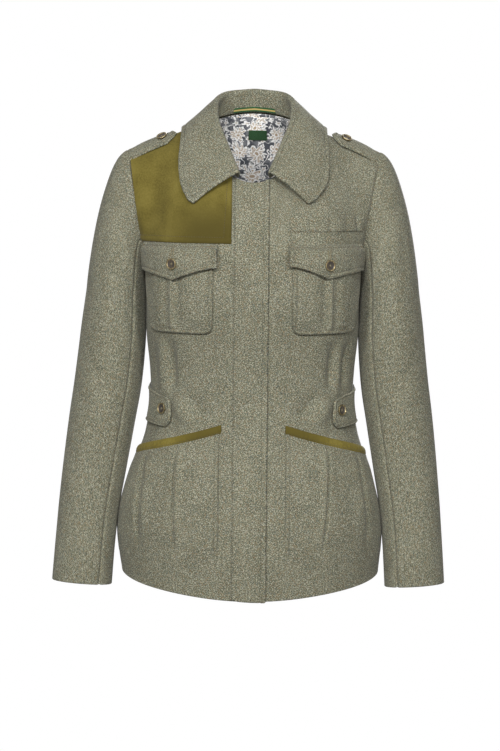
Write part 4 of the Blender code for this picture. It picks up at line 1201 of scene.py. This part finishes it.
def collar_half(side, station, stand, fold_steps, leaf):
    """The collar's middle surface for the half at +X: seam, stand, fold and leaf."""
    seam, way = neck_seam(station)
    base = seam + way * COLLAR_BASE
    fold = through(COLLAR_FOLD, station)
    edge = leaf_edge(side, station)
    before, after = [through(COLLAR_FOLD, np.clip(station + by, 0, 1)) for by in (-0.01, 0.01)]
    run = unit(after - before)
    square = lambda v: unit(v - run * np.sum(v * run, -1, keepdims=True))
    to_leaf, to_stand = square(edge - fold), square(base - fold)
    head = -unit(to_leaf + to_stand)
    out = unit(to_leaf - to_stand)
    inside, outside = fold - out * FOLD_RADIUS, fold + out * FOLD_RADIUS
    rows = [base + (inside - base) * t for t in stand]
    for angle in np.linspace(0, math.pi, fold_steps + 2)[1:-1]:
        rows.append(fold - out * FOLD_RADIUS * math.cos(angle) + head * FOLD_RADIUS * math.sin(angle))
    for t in leaf:
        puff = (out * BULGE_WAY[0] + head * BULGE_WAY[1]) * LEAF_BULGE * np.sin(math.pi * t)
        rows.append(outside + (edge - outside) * t + puff)
    return np.stack(rows)


def rounded_tip(station, leaf):
    """The collar's coordinates with the corner of its leaf drawn in to a curve."""
    x = np.clip(1 - (1 - station) / TIP_STATION, 0.0, 1.0)
    y = np.clip(1 - (1 - leaf) / TIP_LEAF, 0.0, 1.0)
    both = (x > 0) & (y > 0)
    round_x, round_y = x * np.sqrt(1 - y * y / 2), y * np.sqrt(1 - x * x / 2)
    station = np.where(both, 1 - TIP_STATION * (1 - round_x), station)
    return station, np.where(both, 1 - TIP_LEAF * (1 - round_y), leaf)


def collar():
    """Stand and leaf in one fold, stitched round the leaf."""
    station = np.concatenate([[0.0], spread(86, 0.012)[6:]])
    leaf = spread(34, 0.03)
    rounded = rounded_tip(*grid(station, leaf))
    halves = []
    for side in (RIGHT, LEFT):
        half = collar_half(side, station, np.linspace(0, 1, STAND_ROWS), FOLD_ROWS, leaf)
        for row, (at, down) in enumerate(zip(*rounded)):
            half[STAND_ROWS + FOLD_ROWS + row] = collar_half(side, at, (), 0, (down[:, None],))[0]
        halves.append(half)
    right, left = halves
    p = np.concatenate([on_side(RIGHT, right[:, :0:-1]), left], axis=1)
    for _ in range(EVEN_ROUNDS):
        p[1:-1, 1:-1] = p[1:-1, 1:-1] * 0.5 + (p[1:-1, :-2] + p[1:-1, 2:]) * 0.25
    n = grid_normals(p)
    if np.sum(n[-12:, :, 2]) < 0:
        n = -n
    top = p + n * DOUBLE / 2
    sewn = edge_lines(top[LEAF_FROM:], n[LEAF_FROM:], COLLAR_ROWS, "tweed")
    outer = np.concatenate([top[:LEAF_FROM], sewn])
    inner = p - n * DOUBLE / 2
    shell("collar", "cloth", inner, outer, PLAIN, "folded", "back", "right_front", "left_front")


def fly_band():
    """The strip that covers the closing, lapped right over left, from neckline to hem."""
    highest = RIDGE - FLY_TOP
    rises = np.minimum(PANEL_RISES, highest)[: np.argmax(PANEL_RISES > highest) + 1]
    columns = np.concatenate([np.linspace(0, 0.8, 16), 1 - 0.2 * np.linspace(1, 0, 14)[1:]])
    halves = []
    for side, reach in ((RIGHT, -FLY_FROM), (LEFT, FLY_TO)):
        x, rise = grid(reach * columns, rises)
        halves.append(cloth(side, FRONT, turn_of(side, FRONT, x, rise), rise))
    p, n = joined(*halves)
    u = measure_out(p)[0]
    lift, reach = FLY_HEM
    p[0, :, 2] += lift * (1 - soft(u[0] / reach)) - FLY_DROP
    share, reach = FLY_FLUSH
    flush = DOUBLE * share * (1 - soft(u / reach))
    high, reach = FLY_STAND
    stand = high * soft(1 - (u[:, -1:] - u) / reach)
    deep, at, half = FLY_GROOVE
    groove = deep * hump((u - at) / half)
    top = p + n * (LAY_GAP + DOUBLE + stand - flush - groove)[..., None]
    top = edge_lines(top, n, FLY_ROWS, "tweed", *FLAT_ROW)
    sew("tweed", top[:, FLY_SEAM_COLUMN], n[:, FLY_SEAM_COLUMN])
    under_side = p + n * (LAY_GAP * 0.5 + stand)[..., None]
    shell("fly_band", "cloth", under_side, top, PLAIN, "hung", "right_front", "left_front")


def shoulder_patch():
    """Suede from the shoulder down to the flap."""
    across, up = grid(spread(74, 0.03), spread(64, 0.03))
    foot = rise_of(RIGHT, FRONT, np.array([0.2, 0.5, 0.8]), PATCH_FOOT)
    lowest = np.interp(across, [0, 0.4, 1], foot)
    for _ in range(2):
        rise = between(lowest, PATCH_HEAD, up)
        turn = between(turn_of(RIGHT, FRONT, PATCH_INNER, rise), PATCH_OUTER, across)
        lowest = rise_of(RIGHT, FRONT, turn, PATCH_FOOT)
    p, n = cloth(RIGHT, FRONT, turn, rise)
    top = edge_lines(p + n * (LAY_GAP + SUEDE), n, PATCH_ROWS, "suede", *SUEDE_ROW)
    top = rolled_in(top, n, *PATCH_TURNED)
    under_side = p + n * LAY_GAP * 0.5
    shell("shoulder_patch", "hide", under_side, top, (SUEDE_LOOK,), "laid", "right_front")


def chest_pocket(side):
    """A patch pocket whose stitched pleat opens towards its top."""
    down = spread(48, 0.03)
    z = between(CHEST_TOP, CHEST_FOOT, down)
    inner = turn_at(side, FRONT, CHEST_INNER, z)[:, None]
    outer = between(*CHEST_OUTER, down)[:, None]
    ridge = turn_at(side, FRONT, PLEAT_INNER[side], z)[:, None]
    under = turn_at(side, FRONT, between(*PLEAT_OUTER, down), z)[:, None]
    close = np.linspace(-1, 1, 31)[None]
    columns = [np.repeat(spread(84, 0.03)[None], len(z), axis=0)]
    for line, reach in ((ridge, 0.075), (under, 0.05)):
        columns.append((line - inner) / (outer - inner) + reach * close)
    across = np.clip(np.sort(np.concatenate(columns, axis=1), axis=1), 0.0, 1.0)
    turn = between(inner, outer, across)
    away, past = turn - ridge, turn - under
    pleat = sum(high * hump((away - at) / half) for high, at, half in PLEAT_WAVES)
    lap, lap_from, lap_reach = PLEAT_LAP
    pleat = pleat + lap * soft((away - lap_from) / lap_reach) * (1 - soft(past / PLEAT_EDGE))
    dip, dip_at = PLEAT_DIP
    pleat = pleat - dip * hump((past - dip_at) / PLEAT_EDGE)
    opens = (1 - soft((down - PLEAT_END) / (1 - PLEAT_END)))[:, None]
    height = CHEST_FULL + pleat * opens
    corner = np.minimum(across, 1 - across) * (outer - inner) * CHEST_TURN / CHEST_CORNER
    lift = CHEST_CORNER * (1 - np.sqrt(1 - np.clip(1 - corner, 0, 1) ** 2))
    foot = z[:, None] + lift * down[:, None] ** CHEST_CORNER_POWER
    p, n = cloth(side, FRONT, turn, rise_of(side, FRONT, turn, foot))
    under_sink, top_sink = CHEST_SINK
    top = p + n * (POCKET_GAP + POCKET + height - top_sink)[..., None]
    top = rolled_in(edge_lines(top, n, CHEST_ROWS, "tweed"), n, *CHEST_TURNED)
    under_side = p + n * np.maximum(POCKET_GAP + height - under_sink, CHEST_CLEAR)[..., None]
    shell(named(side, "chest_pocket"), "cloth", under_side, top, PLAIN, "laid", named(side, "front"))


def flap_depth(side, across):
    """The depth of a flap down to its lower edge, which dips to a point."""
    middle = FLAP_MIDDLE[side]
    near_point = np.minimum(across / middle, (1 - across) / (1 - middle))
    return between(*FLAP_DEPTH[side], across) + FLAP_POINT[side] * near_point**FLAP_CURVE


def chest_flap(side):
    """A lined flap with a blunt point, standing off its pocket."""
    across, down = grid(spread(84, 0.03), spread(34, 0.05))
    z = FLAP_TOP - flap_depth(side, across) * down
    p, n = on_front(side, across, z, FLAP_INNER, FLAP_OUTER[side])
    curl = FLAP_CURL * down**3 * np.sin(math.pi * across * 2.0) ** 2
    share, flat_from = FLAP_FLAT
    flatter = 1 - share * soft((across - flat_from) / (1 - flat_from))
    near = (LAY_GAP + FLAP_LIFT * soft(down / FLAP_ROLL) * flatter + curl)[..., None]
    top = edge_lines(p + n * (near + DOUBLE), n, FLAP_ROWS, "tweed")
    top = rolled_in(top, n, *FLAP_TURNED)
    pocket = named(side, "chest_pocket")
    shell(named(side, "chest_flap"), "cloth", p + n * near, top, PLAIN, "folded", pocket)


def cartridge_loops():
    """A strip sewn down between its loops."""
    last = LOOP_COUNT * LOOP_COLUMNS
    across, down = grid(np.linspace(0, 1, last + 1), spread(18, 0.06))
    z = between(LOOPS_TOP, LOOPS_FOOT, down)
    p, n = on_front(LEFT, across, z, LOOPS_INNER, LOOPS_OUTER)
    height = (LOOP_HEIGHT * np.abs(np.sin(math.pi * across * LOOP_COUNT)) ** LOOP_ROUND)[..., None]
    top = p + n * (LAY_GAP * 0.5 + LOOP_CLOTH * 0.5 + height)
    top = rolled_in(top, n, *LOOPS_TURNED)
    for column in np.clip(np.arange(LOOP_COUNT + 1) * LOOP_COLUMNS, 1, last - 1):
        sew("tweed", top[:, column], n[:, column], STITCH_LIFT / 2)
    under_side = p + n * (LAY_GAP * 0.4 + height * 0.5)
    shell("cartridge_loops", "cloth", under_side, top, PLAIN, "laid", "left_front")


def waist_tab(side):
    """A tab from the side seam to a blunt point at the front."""
    across, down = grid(spread(52, 0.04), spread(40, 0.05))
    tip = TAB_TIP + TAB_POINT * np.abs(2 * down - 1) ** TAB_ROUND
    turn = between(TAB_SEAM, tip, across)
    z = TAB_TOP - TAB_HEIGHT * down - between(*TAB_SLANT, down) * across
    p, n = cloth(side, FRONT, turn, rise_of(side, FRONT, turn, z))
    near = (TAB_SEAT + TAB_LIFT * soft(across / TAB_RISES))[..., None]
    top = p + n * (near + DOUBLE * thinned(across, *TAB_THIN)[..., None])
    top = rolled_in(edge_lines(top, n, TAB_ROWS, "tweed"), n, *TAB_TURNED)
    shell(named(side, "waist_tab"), "cloth", p + n * near, top, PLAIN, "folded", named(side, "front"))


def hip_mouth(across):
    """The height of a hip pocket's mouth."""
    return between(*HIP_MOUTH, across) - HIP_SAG * np.sin(math.pi * across)


def hip_pocket(side):
    """A full patch pocket with two pleats folded outwards, below its binding."""
    first, last = HIP_PLEATS[side][0][:2]
    columns = [spread(110, 0.02), np.linspace(last - HIP_CLOSE, first + HIP_CLOSE, 90)]
    across, down = grid(np.unique(np.concatenate(columns).round(6)), spread(54, 0.03))
    z = between(hip_mouth(across) - BINDING * 0.5 - BINDING_GAP, HIP_FOOT, down)
    full = soft(down / HIP_SWELLS) * (1 - soft((down - HIP_FADES) / (1 - HIP_FADES)))
    height = HIP_BELLY * np.sin(math.pi * across) ** 0.5
    share, at, wide = HIP_ROLL
    for top_at, foot_at, half, depth in HIP_PLEATS[side]:
        away = (across - between(top_at, foot_at, down)) / half
        height = height + depth * (share * hump((away - at) / wide) - hump(away))
    p, n = on_front(side, across, z, HIP_INNER[side], HIP_OUTER)
    share, thin_from = HIP_THIN
    thin = 1 - share * soft((down - thin_from) / (1 - thin_from))
    near = (LAY_GAP * thin + np.maximum(height * full, 0))[..., None]
    top = edge_lines(p + n * (near + POCKET * thin[..., None]), n, HIP_ROWS, "tweed")
    top = rolled_in(top, n, *HIP_TURNED)
    shell(named(side, "hip_pocket"), "cloth", p + n * near, top, PLAIN, "laid", named(side, "front"))


def hip_binding(side):
    """Suede folded over the pocket's mouth."""
    across, down = grid(spread(90, 0.02), np.linspace(0, 1, 18))
    z = hip_mouth(across) + BINDING * (0.5 - down)
    p, n = on_front(side, across, z, BINDING_INNER[side], BINDING_OUTER)
    start, span, power = BINDING_ROUND
    height = BINDING_LIFT + BINDING_THICK * np.sin(math.pi * (start + span * down)) ** power
    waves, swing, swings = BINDING_WAVES
    pucker = np.sin(across * waves + swing * np.sin(across * swings)) * np.sin(math.pi * down)
    deep, at, half = BINDING_TUCK
    height = height + BINDING_PUCKER * pucker - deep * hump((across - at) / half)
    top = p + n * height[..., None]
    sew("suede", top[BINDING_ROW], n[BINDING_ROW], STITCH_LIFT / 2)
    under_side = p + n * BINDING_LIFT * 0.6
    pocket = named(side, "hip_pocket")
    shell(named(side, "hip_binding"), "hide", under_side, top, (BINDING_LOOK,), "folded", pocket)


def off_ridge(side, turn, away):
    """Points and directions a distance over the shoulder's ridge, to the front where it is negative."""
    points, ways = [], []
    for face in (FRONT, BACK):
        top = torso(side, face, turn, 2.0)
        reach = lambda d: np.linalg.norm(torso(side, face, turn, 2 - d) - top, axis=-1)
        rise = 2 - solve(reach, 0.0, 0.9, np.abs(away))
        points.append(torso(side, face, turn, rise))
        n = normal(side, face, turn, np.minimum(rise, RIDGE))
        flat = unit(n * np.array([1.0, 0.0, 1.0]))
        blend = soft(np.abs(away) / RIDGE_SOFT)[..., None]
        ways.append(unit(flat * (1 - blend) + n * blend))
    front = (away < 0)[..., None]
    return np.where(front, points[0], points[1]), np.where(front, ways[0], ways[1])


def epaulette(side):
    """A pointed strap over the shoulder seam."""
    across, along = grid(-1 + 2 * spread(38, 0.04), spread(54, 0.03))
    point = EPAULETTE_POINT * np.abs(across) ** EPAULETTE_ROUND
    turn = between(EPAULETTE_TO, EPAULETTE_FROM + point, along)
    p, n = off_ridge(side, turn, across * EPAULETTE_HALF - EPAULETTE_AHEAD)
    near = (EPAULETTE_SEAM[side] + EPAULETTE_END[side] * soft(along / EPAULETTE_RISES))[..., None]
    top = p + n * (near + DOUBLE * thinned(along, *EPAULETTE_THIN)[..., None])
    top = rolled_in(edge_lines(top, n, EPAULETTE_ROWS, "tweed"), n, *EPAULETTE_TURNED)
    node = named(side, "epaulette")
    shell(node, "cloth", p + n * near, top, PLAIN, "folded", named(side, "front"), "back")


def button_points(rounds=48, steps=8):
    """A turned button with four holes: rings of points, their distances from the middle, and angles."""
    far, high = np.array(BUTTON_PROFILE).T
    at = np.linspace(0, len(far) - 1, steps * (len(far) - 1) + 1)
    r, h = np.interp(at, range(len(far)), far), np.interp(at, range(len(far)), high)
    angle = np.linspace(0, 2 * math.pi, rounds, endpoint=False)
    x, y = r[:, None] * np.cos(angle), r[:, None] * np.sin(angle)
    z = np.repeat(h[:, None], rounds, axis=1) * BUTTON_THICK / BUTTON_RADIUS
    front = (at < BUTTON_FACE)[:, None]
    start, slope = HOLE_EDGE
    for way in math.pi / 4 + np.arange(4) * math.pi / 2:
        gap = np.hypot(x - BUTTON_HOLES * math.cos(way), y - BUTTON_HOLES * math.sin(way))
        z = z - front * HOLE_DEPTH * (1 - soft((gap / HOLE_RADIUS - start) / slope))
    return np.stack([x, y, z], -1) * BUTTON_RADIUS, r, angle


def button(node, p, n, off, spin):
    """A button turned to face along n, with its crossed thread."""
    points, r, angle = button_points()
    turn = np.array(Vector(n).to_track_quat("Z", "Y").to_matrix() @ Matrix.Rotation(spin, 3, "Z"))
    seat = np.array(p) + np.array(n) * off
    rings, rounds = points.shape[:2]
    placed = points.reshape(-1, 3) @ turn.T + seat
    number = np.arange(rings * rounds).reshape(rings, rounds)
    ahead = np.roll(number, -1, axis=1)
    faces = np.stack([number[:-1], number[1:], ahead[1:], ahead[:-1]], -1).reshape(-1, 4)
    place = np.stack(np.broadcast_arrays(r[:, None], angle[None]), -1).reshape(-1, 2)
    stand_in(make_object(node + "_turned", placed, faces.tolist(), (BUTTON_LOOK,), place), node)
    hole = BUTTON_HOLES * BUTTON_RADIUS * math.sqrt(0.5)
    high = BUTTON_THICK * 0.52
    for sign in (-1, 1):
        ends = np.array([[-hole, -hole * sign, high], [hole, hole * sign, high]]) @ turn.T + seat
        THREADS.setdefault("button", []).append((ends[:1], ends[1:], np.array(n)[None]))


def front_button(side, kind, turn, z, lift, spin):
    """A button on a piece that stands off the front."""
    rise = rise_of(side, FRONT, turn, z)
    p, n = torso(side, FRONT, turn, rise), normal(side, FRONT, turn, rise)
    button(named(side, f"{kind}_button"), p, n, lift + BUTTON_SEAT, spin)


def buttonhole(side, turn, z, off):
    """A worked buttonhole above a flap's button: two ridges of close stitches."""
    high = np.linspace(0, 1, SLIT_STITCHES)
    rises = rise_of(side, FRONT, turn + 0 * high, z + SLIT_LENGTH * high)
    for apart in (-SLIT_APART, SLIT_APART):
        p, n = cloth(side, FRONT, turn + apart + 0 * high, rises)
        p = p + n * off
        across = unit(np.cross(n, np.array([0.0, 0.0, 1.0])))
        THREADS.setdefault("button", []).append((p - across * SLIT_BITE, p + across * SLIT_BITE, n))


def buttons():
    """A button on each epaulette, chest flap and waist tab."""
    for side in (RIGHT, LEFT):
        turn = np.array(EPAULETTE_FROM + EPAULETTE_BUTTON)
        p, n = off_ridge(side, turn, np.array(-EPAULETTE_AHEAD))
        lift = EPAULETTE_SEAM[side] + EPAULETTE_END[side] + DOUBLE
        button(named(side, "epaulette_button"), p, n, lift + BUTTON_SEAT, BUTTON_SPIN["epaulette"])
        inner = turn_at(side, FRONT, FLAP_INNER, np.array([FLAP_BUTTON]))[0]
        turn = np.array(between(inner, FLAP_OUTER[side], FLAP_MIDDLE[side]))
        lift = LAY_GAP + FLAP_LIFT + DOUBLE
        front_button(side, "chest", turn, FLAP_BUTTON, lift, BUTTON_SPIN["chest"] * side)
        buttonhole(side, turn, FLAP_BUTTON + SLIT_ABOVE, lift + SLIT_LIFT)
        turn = np.array(TAB_TIP + TAB_BUTTON[0])
        lift = TAB_SEAT + TAB_LIFT + DOUBLE
        front_button(side, "tab", turn, TAB_BUTTON[1], lift, BUTTON_SPIN["tab"])


def mirrored(x, p):
    """Points made for +X, turned over where x is negative."""
    return p * np.stack([np.where(x < 0, -1.0, 1.0), 1 + 0 * x, 1 + 0 * x], -1)


def back_lining():
    """The lining of the back, as far as it shows through the neck."""
    half = np.linspace(0, LINING_TURN, 40)
    turn, rise = grid(np.concatenate([-half[:0:-1], half]), np.linspace(*LINING_RISE, 64))
    p = mirrored(turn, torso(LEFT, BACK, np.abs(turn), rise))
    n = mirrored(turn, normal(LEFT, BACK, np.abs(turn), rise))
    near = TWEED + LINING_GAP
    face = p - n * near
    shell("back_lining", "print", face - n * LINING, face, (LINING_LOOK,), "hung", "back")


def neck_label():
    """A plain woven label with turned ends."""
    columns = LABEL_CENTRE[0] + (spread(26, 0.06) - 0.5) * LABEL_SIZE[0]
    rows = LABEL_CENTRE[1] + (spread(14, 0.08) - 0.5) * LABEL_SIZE[1]
    x, z = grid(columns, rows)
    turn = turn_at(LEFT, BACK, np.abs(x), z)
    rise = rise_of(LEFT, BACK, turn, z)
    p, n = mirrored(x, torso(LEFT, BACK, turn, rise)), mirrored(x, normal(LEFT, BACK, turn, rise))
    near = TWEED + LINING_GAP + LINING + LABEL_GAP
    face = rolled_in(p - n * (near + TAPE), -n, *LABEL_TURNED)
    shell("neck_label", "tape", p - n * near, face, (woven_label(),), "laid", "back_lining")


def hanger_loop():
    """A tape across the foot of the collar's stand, inside."""
    station, up = grid(np.linspace(-LOOP_END, LOOP_END, 70), np.linspace(*LOOP_STAND, 14))
    half = collar_half(LEFT, np.abs(station[0]), (0.0, 1.0), 1, (0.0, 1.0))
    foot, head = mirrored(station[0], half[0]), mirrored(station[0], half[1])
    p = between(foot, head, up[..., None])
    n = grid_normals(p)
    n = n * -np.sign(n[..., 1:2])
    under_side = p + n * (DOUBLE / 2 + LOOP_GAP)
    shell("hanger_loop", "tape", under_side, under_side + n * TAPE, (striped_tape(),), "laid", "collar")


def stitching(kind):
    """All the stitches of one thread, each a short rounded bead sunk in the cloth."""
    a, b, n = [np.concatenate([row[k] for row in THREADS[kind]]) for k in range(3)]
    run = b - a
    long = np.linalg.norm(run, axis=1, keepdims=True)
    run = run / np.maximum(long, 1e-9)
    across = unit(np.cross(n, run))
    up = np.cross(run, across)
    thick = THREAD * (BUTTON_THREAD if kind == "button" else 1.0)
    rings = []
    for place, swell in BEAD:
        dip = -BEAD_DIP * (2 * place - 1) ** 2
        for angle in np.arange(BEAD_SIDES) * 2 * math.pi / BEAD_SIDES:
            side = math.cos(angle) * thick * BEAD_WIDE * swell
            rise = math.sin(angle) * thick * swell + dip
            rings.append(a + run * long * place + across * side + up * rise)
    points = np.stack(rings, 1)
    number = np.arange(len(rings)).reshape(len(BEAD), BEAD_SIDES)
    ahead = np.roll(number, -1, axis=1)
    sides = np.stack([number[:-1], ahead[:-1], ahead[1:], number[1:]], -1).reshape(-1, 4)
    caps = np.stack([number[0, ::-1], number[-1]])
    base = np.arange(len(points))[:, None, None] * len(rings)
    faces = (sides + base).reshape(-1, 4).tolist() + (caps + base).reshape(-1, BEAD_SIDES).tolist()
    thing = make_object(f"{kind}_stitching", points.reshape(-1, 3), faces, (THREAD_LOOKS[kind],))
    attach(thing, "root")


# The studio
VIEW_DISTANCE = 3.2
VIEW_HEIGHT = 6.0
VIEW_AT = (-0.0029, 0.0, -0.3732)
VIEW_ROLL = 0.55
FOCAL_PIXELS = 2177.0
PICTURE = (500, 751)
FLOOR_HEIGHT = -0.95
FLOOR_HALF = 12.0
WHITE = (1.0, 1.0, 1.0, 1.0)
BLACK = (0.0, 0.0, 0.0, 1.0)
LAMP_AIM = (0.0, 0.0, -0.35)
LAMPS = (
    # name, place, size, power
    ("middle_key", (-0.30, -4.40, 1.85), (0.5, 0.5), 120.0),
    ("left_key", (-2.05, -3.90, 1.40), (0.5, 0.5), 78.0),
    ("right_key", (2.05, -3.90, 1.40), (0.5, 0.5), 78.0),
    ("low_fill", (0.0, -4.30, -0.60), (1.0, 1.0), 48.0),
    ("top_lamp", (0.0, -0.9, 1.9), (1.0, 0.6), 3.0),
    ("back_lamp", (0.6, 2.9, 0.8), (1.6, 1.6), 125.0),
)


def camera():
    """Level with the jacket's front and a little above it."""
    data = bpy.data.cameras.new("view")
    data.sensor_width = 36.0
    data.lens = FOCAL_PIXELS / max(PICTURE) * data.sensor_width
    thing = bpy.data.objects.new("view", data)
    bpy.context.collection.objects.link(thing)
    high = math.radians(VIEW_HEIGHT)
    back = Vector((0.0, -math.cos(high), math.sin(high)))
    thing.location = Vector(VIEW_AT) + back * VIEW_DISTANCE
    turn = (-back).to_track_quat("-Z", "Y").to_matrix() @ Matrix.Rotation(math.radians(VIEW_ROLL), 3, "Z")
    thing.rotation_euler = turn.to_euler()
    bpy.context.scene.camera = thing


def lamp(name, at, size, power):
    data = bpy.data.lights.new(name, "AREA")
    data.shape = "RECTANGLE"
    data.size, data.size_y = size
    data.energy = power
    thing = bpy.data.objects.new(name, data)
    bpy.context.collection.objects.link(thing)
    thing.location = at
    thing.rotation_euler = (Vector(LAMP_AIM) - Vector(at)).to_track_quat("-Z", "Y").to_euler()


def studio():
    """A white floor and surround that light nothing themselves, and soft lamps in front and behind."""
    f = Finish(
        "white_floor", Roughness=1.0, Specular_IOR_Level=0.0,
        Base_Color=BLACK, Emission_Color=WHITE, Emission_Strength=1.0,
    )
    corners = np.array([(-1, -1, 0), (1, -1, 0), (1, 1, 0), (-1, 1, 0)]) * FLOOR_HALF
    corners[:, 2] = FLOOR_HEIGHT
    floor = make_object("studio_floor", corners, [(0, 1, 2, 3)], (f.material,))
    floor.visible_diffuse = False
    floor.visible_glossy = False
    world = bpy.data.worlds.new("studio")
    bpy.context.scene.world = world
    world.use_nodes = True
    sky = world.node_tree.nodes["Background"]
    sky.inputs[0].default_value = WHITE
    sky.inputs[1].default_value = 1.0
    world.cycles_visibility.diffuse = False
    for settings in LAMPS:
        lamp(*settings)
    bpy.context.scene.view_settings.view_transform = "Standard"


PAIRS = (front_panel, sleeve, chest_pocket, chest_flap, waist_tab, hip_pocket, hip_binding, epaulette)
SINGLES = (
    back_panel, collar, fly_band, shoulder_patch, cartridge_loops,
    buttons, back_lining, neck_label, hanger_loop,
)
camera()
for one_side in (RIGHT, LEFT):
    for make in PAIRS:
        make(one_side)
for make in SINGLES:
    make()
for one_kind in THREADS:
    stitching(one_kind)
studio()
